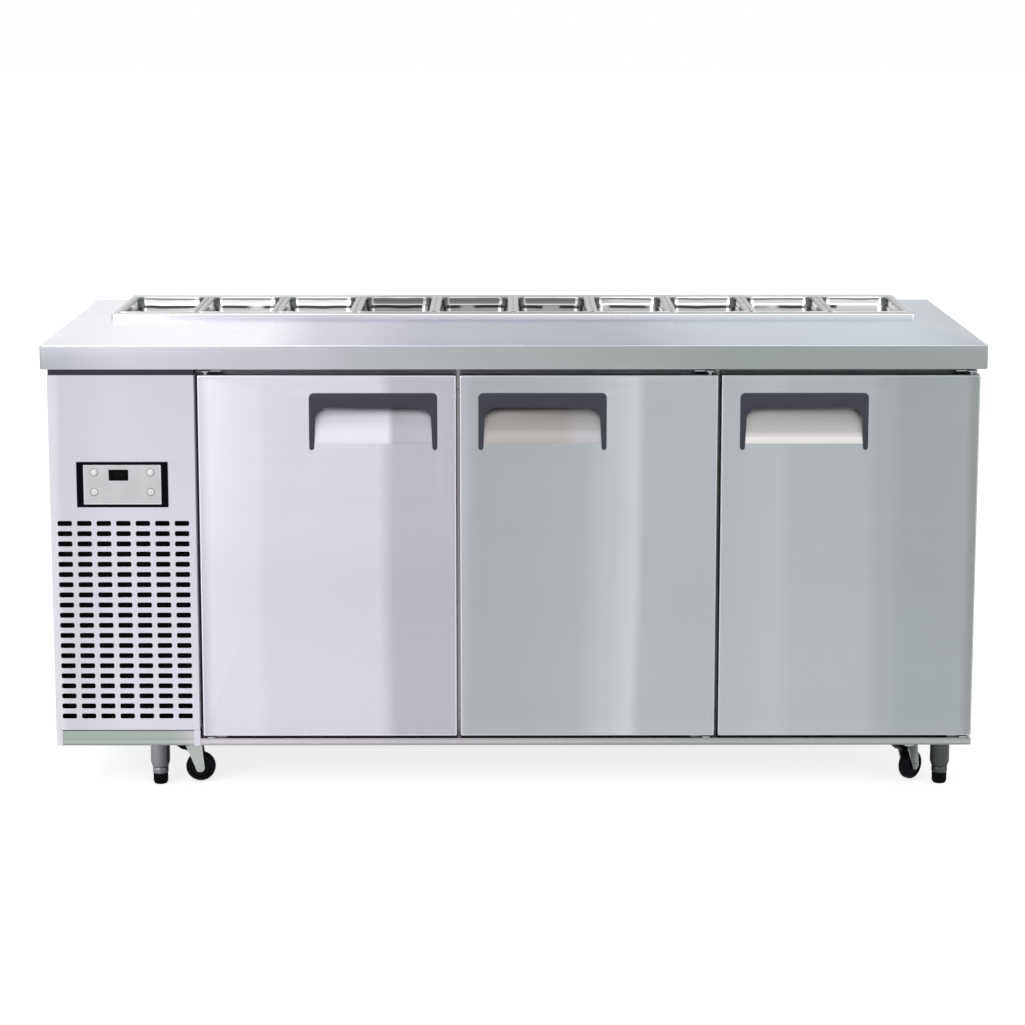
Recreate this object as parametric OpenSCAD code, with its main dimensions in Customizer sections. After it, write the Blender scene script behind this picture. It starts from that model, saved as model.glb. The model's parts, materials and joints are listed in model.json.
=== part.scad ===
// Sandwich prep table: a refrigerated cabinet on feet and casters, with a worktop,
// a raised rail of lift-out pans and a machine compartment at the left.
// X runs left to right, Y runs front to back, Z is up. The origin is on the floor,
// at the middle of the worktop's outline.

/* [Overall] */
// Width of the worktop, left to right
table_w = 1800; // [1500:10:2160]
// Depth of the worktop, front to back
table_d = 700; // [580:5:840]
// Height of the worktop surface above the floor
table_h = 880; // [735:5:1055]
// Height of the cabinet's underside above the floor
floor_gap = 91; // [84:1:130]

/* [Worktop] */
// Height of the worktop's turned-down edge
fascia_h = 46; // [30:1:60]
// Thickness of the worktop sheet
worktop_t = 1.2; // [0.8:0.1:2]
// Width of the lip turned in under the worktop's edge
lip_w = 16; // [14:1:25]
// How far the worktop stands out in front of the doors
front_overhang = 15; // [10:1:30]
// How far the worktop stands out past each side and the back of the cabinet
side_overhang = 10; // [6:1:14]

/* [Pan rail] */
// Distance from the worktop's end to the rail's end
rail_margin = 80; // [60:5:120]
// Distance from the worktop's back edge to the rail's back edge
rail_back = 12; // [8:1:30]
// Height of the rail above the worktop
rail_h = 12; // [8:1:25]
// Flange of the rail in front of and behind the pans
rail_flange = 27.5; // [20:0.5:40]
// Flange of the rail beyond the first and the last pan
rail_end = 7.5; // [5:0.5:20]
// Thickness of the rail's sheet
rail_t = 1.5; // [1:0.1:2]
// Width of the bars between the pans
divider_w = 14; // [10:1:16]
// Height of the bars between the pans
divider_h = 15; // [10:1:25]

/* [Pans] */
// Length of a pan, front to back, over its rim
pan_l = 265; // [220:1:300]
// Depth of a pan, from the top of its rim to its underside
pan_h = 150; // [65:1:180]
// Width of a pan's rim
pan_rim = 10; // [9:0.5:14]
// Thickness of a pan's sheet
pan_t = 1; // [0.8:0.1:1.5]
// Corner radius of a pan's rim
pan_r = 12; // [8:1:20]
// Gap between the rims of neighbouring pans
pan_gap = 1.2; // [0.8:0.1:3]

/* [Cabinet] */
// Thickness of the outer sheets
shell_t = 1.2; // [0.8:0.1:1.5]
// Thickness of the inner sheets
liner_t = 1; // [0.6:0.1:1.5]
// Thickness of the foam under the cold room
floor_foam = 45; // [35:1:60]
// Thickness of the foam behind the cold room
back_foam = 34; // [25:1:45]
// Thickness of the foam at the right of the cold room
side_foam = 38; // [30:1:60]
// Thickness of the foam between the machine and the cold room
wall_foam = 44; // [35:1:60]
// Foam around the well under the pans over the machine
well_foam = 32; // [25:1:45]
// Depth of the door frame's bars, front to back
frame_d = 30; // [20:1:45]
// Height of the frame's top and bottom bars
frame_bar = 50; // [40:1:70]
// Width of the posts between two doors
post_w = 64; // [60:1:80]
// Height of the base rail under the doors
base_rail_h = 14; // [10:1:20]
// Height of the plinth under the machine panel
plinth_h = 30; // [20:1:45]
// Height of a shelf above the cold room's floor
shelf_h = 262; // [150:5:350]
// Pitch of the shelf's wires
wire_pitch = 32; // [20:1:45]

/* [Doors] */
// Gap between neighbouring doors
door_gap = 6.5; // [4:0.5:8]
// Gap between the worktop's edge and the tops of the doors
top_gap = 13; // [12:1:25]
// Gap between the base rail and the bottoms of the doors
bottom_gap = 5; // [4.5:0.5:10]
// Thickness of a door
door_t = 48; // [40:1:60]
// Thickness of a door's outer sheet
skin_t = 1; // [0.7:0.1:1.5]
// Thickness of a door's inner panel
door_liner_t = 2; // [1.5:0.1:4]
// Width of the door seal
seal_w = 12; // [10:1:14]
// Space that the seal fills between door and frame
seal_gap = 10; // [8:1:14]
// Distance from a door's hinged edge to its pivot
pivot_in = 15; // [14:0.5:20]
// Distance from a door's face back to its pivot
pivot_back = 11; // [10.5:0.5:16]
// Diameter of the hinge pins
hinge_pin_d = 8; // [6:0.5:9]

/* [Handles] */
// Width of a handle
handle_w = 245; // [180:1:300]
// Height of a handle
handle_h = 110; // [90:1:140]
// Height of a handle's bar
handle_bar = 28; // [22:1:36]
// Width of a handle's leg at its foot
handle_leg = 9.6; // [8:0.1:14]
// Distance from the door's free edge to the handle
handle_in = 36; // [25:1:60]
// Distance from the door's top to the handle
handle_drop = 35; // [20:1:60]
// Depth of the recess behind the handle
scoop_d = 30; // [22:1:34]

/* [Machine compartment] */
// Width of the machine panel
unit_w = 279; // [260:1:400]
// Width of a slot in the grille
slot_w = 28; // [20:1:40]
// Height of a slot in the grille
slot_h = 10; // [6:0.5:14]
// Pitch of the slots, left to right
slot_pitch_x = 37.5; // [34:0.5:50]
// Pitch of the slots, up and down
slot_pitch_z = 20.1; // [16:0.1:30]
// Width of the controller
controller_w = 175; // [150:1:200]
// Height of the controller
controller_h = 88; // [80:1:110]
// Distance from the machine panel's top to the controller's middle
controller_drop = 212; // [120:2:260]
// Diameter of a button
button_d = 13; // [9:0.5:16]
// Travel of a button
button_travel = 1; // [0.5:0.1:1.3]
// Diameter of the compressor
compressor_d = 150; // [120:1:170]
// Height of the compressor's shell
compressor_h = 165; // [140:1:220]
// Height of the condenser
condenser_h = 250; // [220:5:300]
// Diameter of the condenser's fan
fan_d = 200; // [150:5:210]

/* [Evaporator] */
// Thickness of the evaporator's housing
evap_w = 82; // [70:1:100]
// Greatest length of the evaporator's housing, front to back
evap_l = 400; // [300:10:440]
// Height of the evaporator's housing
evap_h = 340; // [280:10:400]
// Diameter of the evaporator's fan
evap_fan_d = 150; // [120:5:170]

/* [Feet and casters] */
// Diameter of a leg
leg_d = 38; // [32:1:50]
// Diameter of a foot
foot_d = 29; // [24:1:36]
// Distance from the left side of the cabinet to the left leg
left_leg_in = 194; // [120:1:260]
// Distance from the right side of the cabinet to the right leg
right_leg_in = 51; // [40:1:120]
// Distance from a door's face back to the legs
leg_back = 53; // [35:1:90]
// Distance from the left leg to the caster beside it
left_caster_step = 66; // [63:1:100]
// Distance from the right leg to the caster beside it
right_caster_step = 63; // [63:1:100]
// Diameter of a wheel
wheel_d = 58; // [50:1:62]
// Width of a wheel
wheel_w = 22; // [16:1:30]
// Distance from a caster's swivel to its axle
trail = 12; // [8:1:18]
// Height of the front wheels above the floor
wheel_lift = 1.5; // [1:0.5:6]
// Reach of a brake pedal from its caster's swivel
pedal_reach = 41; // [36:1:42]
// Direction of the left front caster, as a turn to the left from straight ahead
left_turn = 90; // [0:5:90]
// Direction of the right front caster, as a turn to the left from straight ahead
right_turn = 45; // [0:5:90]

/* [Hidden] */
$fn = 48;

// Clearances
seam = 0.2;        // between two fixed pieces, each its own solid
run_fit = 0.05;    // radial, around a pin, a shaft or an axle
move_gap = 0.4;    // between pieces that move past each other
eps = 1;           // how far a cut runs past the face that it opens

// Outline of the worktop and the cabinet
top_x = table_w / 2;
top_y = table_d / 2;
body_x = top_x - side_overhang;
face_y = -top_y + front_overhang;
back_y = top_y - side_overhang;
body_top = table_h - fascia_h;
frame_y = face_y + door_t + seal_gap;
frame_back_y = frame_y + frame_d;
door_bottom = floor_gap + base_rail_h + bottom_gap;
door_top = body_top - top_gap;

// Doors
door_count = 3;
unit_x = -body_x + unit_w;
doors_x = unit_x + door_gap;
door_w = (body_x - doors_x - (door_count - 1) * door_gap) / door_count;
function door_x(i) = doors_x + (i - 1) * (door_w + door_gap);
// Door 1 hangs on its left edge, the others on their right edge
function hinge_side(i) = i == 1 ? -1 : 1;
function pivot_x(i) = i == 1 ? door_x(i) + pivot_in : door_x(i) + door_w - pivot_in;
pivot_y = face_y + pivot_back;
seal_in = pivot_in + 2;
pin_len = 16;
bush_d = 16;
bush_h = 20;

// Cold room, measured at the faces of its liner
room_x0 = unit_x + 3 + shell_t + wall_foam + liner_t;
room_x1 = body_x - shell_t - side_foam - liner_t;
room_y1 = back_y - shell_t - back_foam - liner_t;
room_z0 = floor_gap + shell_t + floor_foam + liner_t;
opening_top = body_top - frame_bar;
opening_bottom = floor_gap + shell_t + frame_bar;
wall_x = unit_x + 3;

// Rail and pans
pan_count = 10;
rail_lap = pan_rim - 2;
rail_x = top_x - rail_margin;
rail_d = pan_l + 2 * rail_flange;
rail_y1 = top_y - rail_back;
rail_y0 = rail_y1 - rail_d;
rail_top = table_h + rail_h;
pan_y = (rail_y0 + rail_y1) / 2;
pan_pitch = 2 * (rail_x - rail_end) / pan_count;
pan_w = pan_pitch - pan_gap;
pan_body_w = pan_w - 2 * pan_rim;
pan_body_l = pan_l - 2 * pan_rim;
throat_x = rail_x - rail_end - rail_lap;
throat_y0 = rail_y0 + rail_flange + rail_lap;
throat_y1 = rail_y1 - rail_flange - rail_lap;
pan_bottom = rail_top + pan_t - pan_h;
function pan_x(i) = (i - (pan_count + 1) / 2) * pan_pitch;

// Well under the pans that hang over the machine
well_z = pan_bottom - 12;
well_x = -throat_x - rail_t - 8;
well_y = throat_y0 - 14;

// Worktop's cut-out, a little larger than the rail's skirt
cut_x = throat_x + rail_t + 0.5;
cut_y0 = throat_y0 - rail_t - 0.5;
cut_y1 = throat_y1 + rail_t + 0.5;
core_z0 = body_top + worktop_t + liner_t + 0.2;
core_z1 = table_h - worktop_t - seam;

// Machine panel and grille
panel_z0 = floor_gap + plinth_h + 2;
panel_z1 = door_top;
controller_x = -body_x + unit_w / 2;
controller_z = panel_z1 - controller_drop;
grille_z0 = panel_z0 + 28;
slot_cols = 1 + floor((unit_w - 24 - slot_w) / slot_pitch_x);
slot_rows = 1 + floor((controller_z - controller_h / 2 - 20 - slot_h / 2 - grille_z0) / slot_pitch_z);
cheek_w = 12.6;
rim_h = 5;
plate_w = controller_w - 2 * cheek_w - 0.6;
plate_h = controller_h - 2 * rim_h - 0.6;
bezel_t = 3;
button_dx = 54;
button_z_up = 24;
button_z_low = -14;
button_out = 1.6;
button_len = 8;
display_w = 37;
display_h = 21;
display_dx = -7;
display_dz = 18.5;
function button_x(i) = controller_x + (i % 2 == 1 ? -button_dx : button_dx);
function button_z(i) = controller_z + (i < 3 ? button_z_up : button_z_low);

// Machine
unit_mid_x = (-body_x + wall_x) / 2;
floor_z = floor_gap + shell_t;
condenser_w = unit_w - 46;
condenser_d = 48;
condenser_y = frame_back_y + 8;
condenser_z = opening_bottom + 6;
fan_y = condenser_y + condenser_d + 24;
fan_z = condenser_z + condenser_h / 2;
fan_tip = 20;
compressor_y = back_y - compressor_d / 2 - 40;
shaft_d = 8;

// Evaporator, on the wall between the cold room and the machine
evap_x1 = room_x0 + evap_w;
evap_z1 = pan_bottom - 18;
evap_z0 = evap_z1 - evap_h;
evap_y0 = frame_back_y + 60;
evap_len = min(evap_l, room_y1 - evap_y0 - 60);
evap_y = evap_y0 + evap_len / 2;
evap_z = evap_z1 - evap_h / 2;
evap_t = 1.5;

// Shelves
rail_bar = 20;
shelf_z = room_z0 + shelf_h;
shelf_y0 = frame_back_y + 8;
shelf_y1 = room_y1 - 30;
wire_d = 4;
edge_wire_d = 6;
post_1 = door_x(2) - door_gap / 2;
post_2 = door_x(3) - door_gap / 2;
// Left edges of the bars that carry the shelves
shelf_bars = [evap_x1 + seam, post_1 - rail_bar / 2, post_2 - rail_bar / 2, room_x1 - seam - rail_bar];
shelf_edges = [
  [shelf_bars[0] + 4, post_1 - 3],
  [post_1 + 3, post_2 - 3],
  [post_2 + 3, shelf_bars[3] + rail_bar - 4]
];

// Feet and casters
leg_y = face_y + leg_back;
leg_x = [-body_x + left_leg_in, body_x - right_leg_in];
caster_x = [leg_x[0] + left_caster_step, leg_x[1] - right_caster_step];
caster_y = leg_y + 12;
rear_x = body_x - 90;
rear_y = back_y - 60;
foot_rubber_h = 22;
foot_ring_h = 12;
foot_stem_d = 12;
foot_stem_h = 42;
leg_z = foot_rubber_h + foot_ring_h + 1;
plate_t = 3;
race_d = 34;
race_h = 8;
fork_t = 2.5;
axle_d = 8;
kingpin_d = 10;
front_axle_z = wheel_lift + wheel_d / 2;
rear_axle_z = wheel_d / 2;
crown_z1 = floor_gap - plate_t - race_h - move_gap;
crown_z0 = crown_z1 - 4;
fork_in = wheel_w / 2 + 1.2;
axle_l = 2 * (fork_in + fork_t + 2);
pedal_y = -11;
pedal_z = crown_z0 - 7;
pedal_pin_d = 5;

// Colours
steel = [0.80, 0.80, 0.83];
bright = [0.88, 0.88, 0.90];
slate = [0.29, 0.29, 0.34];
black = [0.06, 0.06, 0.07];
foam_c = [0.93, 0.88, 0.66];
zinc = [0.70, 0.72, 0.74];
copper = [0.72, 0.42, 0.25];

// ---- Helpers ----

// A block between two opposite corners
module block(lo, hi) {
  translate(lo) cube(hi - lo);
}

// A block with a square opening through it from front to back
module ring_y(lo, hi, w) {
  difference() {
    block(lo, hi);
    block([lo[0] + w, lo[1] - eps, lo[2] + w], [hi[0] - w, hi[1] + eps, hi[2] - w]);
  }
}

// A hollow bar of sheet, open at both ends, along X
module tube_x(lo, hi, t) {
  difference() {
    block(lo, hi);
    block([lo[0] - eps, lo[1] + t, lo[2] + t], [hi[0] + eps, hi[1] - t, hi[2] - t]);
  }
}

// A hollow bar of sheet, open at both ends, along Z
module tube_z(lo, hi, t) {
  difference() {
    block(lo, hi);
    block([lo[0] + t, lo[1] + t, lo[2] - eps], [hi[0] - t, hi[1] - t, hi[2] + eps]);
  }
}

// A rectangle with round corners, about its middle
module round_rect(w, d, r) {
  square([w - 2 * r, d], center = true);
  square([w, d - 2 * r], center = true);
  for (x = [-1, 1], y = [-1, 1])
    translate([x * (w / 2 - r), y * (d / 2 - r)]) circle(r);
}

// Points on an arc about c
function arc(c, r, a0, a1, n) =
  [for (i = [0:n]) c + r * [cos(a0 + (a1 - a0) * i / n), sin(a0 + (a1 - a0) * i / n)]];

// A cylinder along Y from y0 to y1
module rod_y(x, y0, y1, z, d) {
  translate([x, y0, z]) rotate([-90, 0, 0]) cylinder(d = d, h = y1 - y0);
}

// A cylinder along X from x0 to x1
module rod_x(x0, x1, y, z, d) {
  translate([x0, y, z]) rotate([0, 90, 0]) cylinder(d = d, h = x1 - x0);
}

// A cylinder along Z from z0 to z1
module rod_z(x, y, z0, z1, d) {
  translate([x, y, z0]) cylinder(d = d, h = z1 - z0);
}

// A cylinder between any two points
module rod(a, b, d) {
  v = b - a;
  len = norm(v);
  translate(a)
    rotate([0, acos(v[2] / len), atan2(v[1], v[0])])
      cylinder(d = d, h = len);
}

// ---- Cabinet ----

suction_y = evap_y0 + 60;
liquid_y = suction_y + 24;
pipe_z = max(evap_z0 + 40, fan_z + 52, condenser_z + condenser_h + 22, floor_z + compressor_h + 34);
pipe_d = 9;

// Holes for the two pipes through the wall beside the machine
module pipe_holes() {
  for (y = [suction_y, liquid_y])
    rod_x(wall_x - eps, room_x0 + eps, y, pipe_z, pipe_d + 2);
}

module outer_shell() {
  color(steel) {
    block([-body_x, frame_y, floor_gap], [-body_x + shell_t, back_y, body_top]);
    block([body_x - shell_t, frame_y, floor_gap], [body_x, back_y, body_top]);
    block([-body_x + shell_t + seam, frame_y, floor_gap],
          [body_x - shell_t - seam, back_y - shell_t - seam, floor_gap + shell_t]);
    difference() {
      block([-body_x + shell_t + seam, back_y - shell_t, floor_gap],
            [body_x - shell_t - seam, back_y, body_top]);
      back_vents();
    }
    difference() {
      block([wall_x, frame_back_y + seam, floor_z + seam],
            [wall_x + shell_t, back_y - shell_t - seam, well_z - well_foam - shell_t - 2 * seam]);
      pipe_holes();
    }
    block([-body_x + shell_t + seam, frame_back_y + seam, well_z - well_foam - shell_t - seam],
          [wall_x + shell_t, back_y - shell_t - seam, well_z - well_foam - seam]);
  }
}

// Rows of slots at the back of the machine compartment, and the cable's hole
vent_rows = 9;
vent_pitch = 24;
vent_w = 200;
vent_h = 8;
vent_z = floor_gap + 150;
gland_x = -body_x + 60;
gland_z = floor_gap + 70;
gland_d = 18;
module back_vents() {
  for (i = [0:vent_rows - 1])
    block([unit_mid_x - vent_w / 2, back_y - shell_t - eps, vent_z + i * vent_pitch],
          [unit_mid_x + vent_w / 2, back_y + eps, vent_z + i * vent_pitch + vent_h]);
  rod_y(gland_x, back_y - shell_t - eps, back_y + eps, gland_z, gland_d + 0.4);
}

// Left and right edges of the frame's upright posts
posts = [
  [-body_x + shell_t + seam, -body_x + 20],
  [wall_x, room_x0],
  [post_1 - post_w / 2, post_1 + post_w / 2],
  [post_2 - post_w / 2, post_2 + post_w / 2],
  [room_x1, body_x - shell_t - seam]
];

module door_frame() {
  x0 = -body_x + shell_t + seam;
  color(steel) {
    tube_x([x0, frame_y, opening_top], [-x0, frame_back_y, body_top], shell_t);
    tube_x([x0, frame_y, floor_z + seam], [-x0, frame_back_y, opening_bottom], shell_t);
    for (p = posts)
      tube_z([p[0], frame_y, opening_bottom + seam], [p[1], frame_back_y, opening_top - seam], shell_t);
    base_rail(unit_x + 1, body_x, base_rail_h);
    base_rail(-body_x, unit_x + 1 - seam, plinth_h);
  }
}

// A folded rail in front of the cabinet's foot
module base_rail(x0, x1, h) {
  difference() {
    block([x0, face_y + 2, floor_gap], [x1, frame_y - seam, floor_gap + h]);
    block([x0 - eps, face_y + 2 + shell_t, floor_gap + shell_t],
          [x1 + eps, frame_y - seam - shell_t, floor_gap + h - shell_t]);
  }
}

module cabinet_foam() {
  x0 = wall_x + shell_t + seam;
  x1 = body_x - shell_t - seam;
  y0 = frame_back_y + seam;
  y1 = back_y - shell_t - seam;
  z0 = floor_z + seam;
  z1 = room_z0 - liner_t - seam;
  wall_x1 = room_x0 - liner_t - seam;
  back_y0 = room_y1 + liner_t + seam;
  well_x0 = -body_x + shell_t + 2 * seam;
  color(foam_c) {
    block([x0, y0, z0], [x1, y1, z1]);
    block([x0, back_y0, z1 + seam], [x1, y1, body_top]);
    block([room_x1 + liner_t + seam, y0, z1 + seam], [x1, back_y0 - seam, body_top]);
    difference() {
      block([x0, y0, z1 + seam], [wall_x1, back_y0 - seam, well_z - liner_t - seam]);
      pipe_holes();
    }
    block([x0, y0, well_z - liner_t], [wall_x1, well_y - liner_t - seam, body_top]);
    block([well_x0, well_y - liner_t - well_foam, well_z - well_foam],
          [x0 - seam, y1, well_z - liner_t - seam]);
    block([well_x0, well_y - liner_t - well_foam, well_z - liner_t],
          [x0 - seam, well_y - liner_t - seam, body_top]);
    block([well_x0, well_y - liner_t, well_z - liner_t], [well_x - liner_t - seam, y1, body_top]);
    block([well_x - liner_t, back_y0, well_z - liner_t], [x0 - seam, y1, body_top]);
    block([-top_x + worktop_t + seam, -top_y + worktop_t + seam, core_z0],
          [top_x - worktop_t - seam, cut_y0 - seam, core_z1]);
    block([-top_x + worktop_t + seam, cut_y1 + seam, core_z0],
          [top_x - worktop_t - seam, top_y - worktop_t - seam, core_z1]);
    for (s = [-1, 1])
      translate([s * (top_x - worktop_t - seam + cut_x + seam) / 2, (cut_y0 + cut_y1) / 2,
                 (core_z0 + core_z1) / 2])
        cube([top_x - worktop_t - 2 * seam - cut_x, cut_y1 - cut_y0, core_z1 - core_z0], center = true);
  }
}

module inner_liner() {
  color(bright) {
    // floor, right side, back
    block([room_x0, frame_back_y + seam, room_z0 - liner_t], [room_x1, room_y1, room_z0]);
    block([room_x1, frame_back_y + seam, room_z0 + seam], [room_x1 + liner_t, room_y1 - seam, body_top]);
    block([room_x0 - liner_t, room_y1, room_z0 + seam], [room_x1 + liner_t, room_y1 + liner_t, body_top]);
    // wall beside the machine, below the well and in front of it
    difference() {
      block([room_x0 - liner_t, frame_back_y + seam, room_z0 + seam], [room_x0, room_y1 - seam, well_z - liner_t]);
      pipe_holes();
    }
    block([room_x0 - liner_t, frame_back_y + seam, well_z - liner_t + seam],
          [room_x0, well_y - liner_t - seam, body_top]);
    // the well's floor, front, end and back
    block([well_x, well_y, well_z - liner_t], [room_x0 - liner_t - seam, room_y1, well_z]);
    block([well_x, well_y - liner_t, well_z - liner_t], [room_x0, well_y - seam, body_top]);
    block([well_x - liner_t, well_y, well_z - liner_t], [well_x - seam, room_y1, body_top]);
    block([well_x, room_y1, well_z + seam], [room_x0 - liner_t - seam, room_y1 + liner_t, body_top]);
    // ceiling in front of the pans
    block([-top_x + lip_w + 2, -top_y + lip_w + 2, body_top + worktop_t - 0.1],
          [top_x - lip_w - 2, cut_y0 - seam, body_top + worktop_t - 0.1 + liner_t]);
    // rails that carry the shelves
    for (x = shelf_bars)
      block([x, frame_back_y + seam, shelf_z - edge_wire_d / 2 - 2],
            [x + rail_bar, room_y1 - seam, shelf_z - edge_wire_d / 2]);
  }
}

module worktop() {
  color(bright) {
    difference() {
      block([-top_x, -top_y, body_top], [top_x, top_y, table_h]);
      block([-top_x + worktop_t, -top_y + worktop_t, body_top + worktop_t],
            [top_x - worktop_t, top_y - worktop_t, table_h - worktop_t]);
      block([-top_x + lip_w, -top_y + lip_w, body_top - eps],
            [top_x - lip_w, top_y - lip_w, body_top + worktop_t + eps]);
      block([-cut_x, cut_y0, body_top - eps], [cut_x, cut_y1, table_h + eps]);
    }
  }
}

module pan_rail() {
  color(bright) {
    difference() {
      union() {
        block([-rail_x, rail_y0, table_h], [rail_x, rail_y1, rail_top]);
        block([-throat_x - rail_t, throat_y0 - rail_t, body_top + 4],
              [throat_x + rail_t, throat_y1 + rail_t, rail_top]);
      }
      difference() {
        block([-rail_x + rail_t, rail_y0 + rail_t, table_h - eps],
              [rail_x - rail_t, rail_y1 - rail_t, rail_top - rail_t]);
        block([-throat_x - rail_t, throat_y0 - rail_t, body_top],
              [throat_x + rail_t, throat_y1 + rail_t, rail_top]);
      }
      block([-throat_x, throat_y0, body_top], [throat_x, throat_y1, rail_top + eps]);
    }
    for (i = [1:pan_count - 1]) {
      x = pan_x(i) + pan_pitch / 2;
      block([x - divider_w / 2, throat_y0 + seam, rail_top - divider_h],
            [x + divider_w / 2, throat_y1 - seam, rail_top]);
    }
  }
}

module wire_shelves() {
  color(zinc)
    for (e = shelf_edges) wire_shelf(e[0], e[1]);
}

// One shelf: three cross wires that carry a row of wires front to back
module wire_shelf(x0, x1) {
  end = 5;
  n = floor((x1 - x0 - 2 * end) / wire_pitch);
  step = (x1 - x0 - 2 * end) / n;
  for (y = [shelf_y0 + end, (shelf_y0 + shelf_y1) / 2, shelf_y1 - end])
    rod_x(x0, x1, y, shelf_z, edge_wire_d);
  for (i = [0:n])
    rod_y(x0 + end + i * step, shelf_y0, shelf_y1, shelf_z + (edge_wire_d + wire_d) / 2 - 0.7, wire_d);
}

// ---- Machine panel and controller ----

module slot_shape() {
  r = slot_h / 3;
  n = 5;
  a = slot_w / 2 - r;
  b = slot_h / 2 - r;
  polygon(concat(arc([a, b], r, 0, 90, n), arc([-a, b], r, 90, 180, n),
                 arc([-a, -b], r, 180, 270, n), arc([a, -b], r, 270, 360, n)));
}

module unit_front_panel() {
  t = shell_t;
  x0 = -body_x;
  color(steel)
    difference() {
      block([x0, face_y, panel_z0], [unit_x, frame_y - seam, panel_z1]);
      block([x0 + t, face_y + t, panel_z0 + t], [unit_x - t, frame_y + eps, panel_z1 - t]);
      for (i = [0:slot_cols - 1], k = [0:slot_rows - 1])
        translate([controller_x + (i - (slot_cols - 1) / 2) * slot_pitch_x, face_y + t + eps,
                   grille_z0 + k * slot_pitch_z])
          rotate([90, 0, 0]) linear_extrude(t + 2 * eps) slot_shape();
      block([controller_x - controller_w / 2 + 5, face_y - eps, controller_z - controller_h / 2 + 3.5],
            [controller_x + controller_w / 2 - 5, face_y + t + eps, controller_z + controller_h / 2 - 3.5]);
    }
}

module controller_bezel() {
  w = controller_w / 2;
  h = controller_h / 2;
  in_w = w - cheek_w;
  in_h = h - rim_h;
  color(black) {
    difference() {
      union() {
        block([controller_x - w, face_y - bezel_t, controller_z - h], [controller_x + w, face_y, controller_z + h]);
        block([controller_x - w + 5.5, face_y - eps, controller_z - h + 4],
              [controller_x + w - 5.5, face_y + 24, controller_z + h - 4]);
      }
      block([controller_x - in_w, face_y - bezel_t - eps, controller_z - in_h],
            [controller_x + in_w, face_y + 22, controller_z + in_h]);
    }
    // display window, in the plate's hole
    block([controller_x + display_dx - display_w / 2, face_y - 1.6, controller_z + display_dz - display_h / 2],
          [controller_x + display_dx + display_w / 2, face_y + 1.5, controller_z + display_dz + display_h / 2]);
  }
}

module controller_face() {
  color(steel)
    difference() {
      block([controller_x - plate_w / 2, face_y - 1.5, controller_z - plate_h / 2],
            [controller_x + plate_w / 2, face_y + 1, controller_z + plate_h / 2]);
      block([controller_x + display_dx - display_w / 2 - seam, face_y - 4,
             controller_z + display_dz - display_h / 2 - seam],
            [controller_x + display_dx + display_w / 2 + seam, face_y + 4,
             controller_z + display_dz + display_h / 2 + seam]);
      for (i = [1:4])
        rod_y(button_x(i), face_y - 4, face_y + 4, button_z(i), button_d + 2 * move_gap);
    }
}

module controller_button(i) {
  color(bright)
    rod_y(button_x(i), face_y - 1.5 - button_out, face_y - 1.5 - button_out + button_len,
          button_z(i), button_d);
}

// ---- Machine ----

module compressor() {
  r = compressor_d / 2;
  x = unit_mid_x;
  z0 = floor_z + 14;
  color(black) {
    translate([x, compressor_y, z0])
      rotate_extrude()
        polygon(concat([[0, 0]], arc([r - 20, 20], 20, -90, 0, 6),
                       arc([r - 36, compressor_h - 36], 36, 0, 90, 8), [[0, compressor_h]]));
    // foot plate on four rubber feet
    difference() {
      block([x - r - 18, compressor_y - r + 6, z0 - 4], [x + r + 18, compressor_y + r - 6, z0 + 0.5]);
      rod_z(x, compressor_y, z0 - 5, z0 + 1, 2 * (r - 22));
    }
    for (sx = [-1, 1], sy = [-1, 1])
      rod_z(x + sx * (r + 4), compressor_y + sy * (r - 22), floor_z, z0 - 4, 20);
  }
}

module condenser_coil() {
  x0 = unit_mid_x - condenser_w / 2;
  x1 = unit_mid_x + condenser_w / 2;
  y1 = condenser_y + condenser_d;
  z1 = condenser_z + condenser_h;
  fin = 8;
  color(zinc) {
    difference() {
      block([x0, condenser_y, condenser_z], [x1, y1, z1]);
      // gaps between the fins, in front and behind
      for (x = [x0 + fin:fin:x1 - fin])
        for (y = [condenser_y - eps, y1 - 14])
          block([x, y, condenser_z + 4], [x + fin - 2, y + 14 + eps, z1 - 4]);
    }
    // feet of the condenser, on the cabinet's floor
    for (x = [x0, x1 - 20])
      block([x, condenser_y + 10, floor_z], [x + 20, y1 - 10, condenser_z]);
    // shroud around the fan
    difference() {
      block([x0, y1 + seam, condenser_z], [x1, y1 + seam + 30, z1]);
      block([x0 + 2, y1 + seam - eps, condenser_z + 2], [x1 - 2, y1 + seam + 28, z1 - 2]);
      rod_y(unit_mid_x, y1, y1 + 40, fan_z, fan_d + fan_tip);
    }
  }
}

// A fan's blades about its axis, along Z from 0
module fan_wheel(d, h, hub, n) {
  difference() {
    union() {
      cylinder(d = hub, h = h);
      intersection() {
        for (i = [0:n - 1])
          rotate([0, 0, i * 360 / n])
            translate([d / 4, 0, h / 2]) rotate([32, 0, 0]) cube([d / 2, d * 0.24, 1.6], center = true);
        cylinder(d = d, h = h);
      }
    }
    translate([0, 0, 4]) cylinder(d = shaft_d + 2 * run_fit, h = h);
  }
}

fan_h = 26;
module condenser_fan_blade() {
  color(black)
    translate([unit_mid_x, fan_y - fan_h / 2, fan_z]) rotate([-90, 0, 0]) fan_wheel(fan_d, fan_h, 46, 5);
}

evap_fan_x = evap_x1 - 10;
evap_fan_h = 20;
module evaporator_fan_blade() {
  color(black)
    translate([evap_fan_x, evap_y, evap_z]) rotate([0, -90, 0]) fan_wheel(evap_fan_d, evap_fan_h, 36, 5);
}

// A motor with its shaft along Z from 0 to its face at f, held by a bar of length w
module fan_motor(f, d, len, w, bar_t) {
  cylinder(d = shaft_d, h = f + 1);
  translate([0, 0, f]) cylinder(d = d, h = len);
  translate([-w / 2, -15, f]) cube([w, 30, bar_t]);
}

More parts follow.
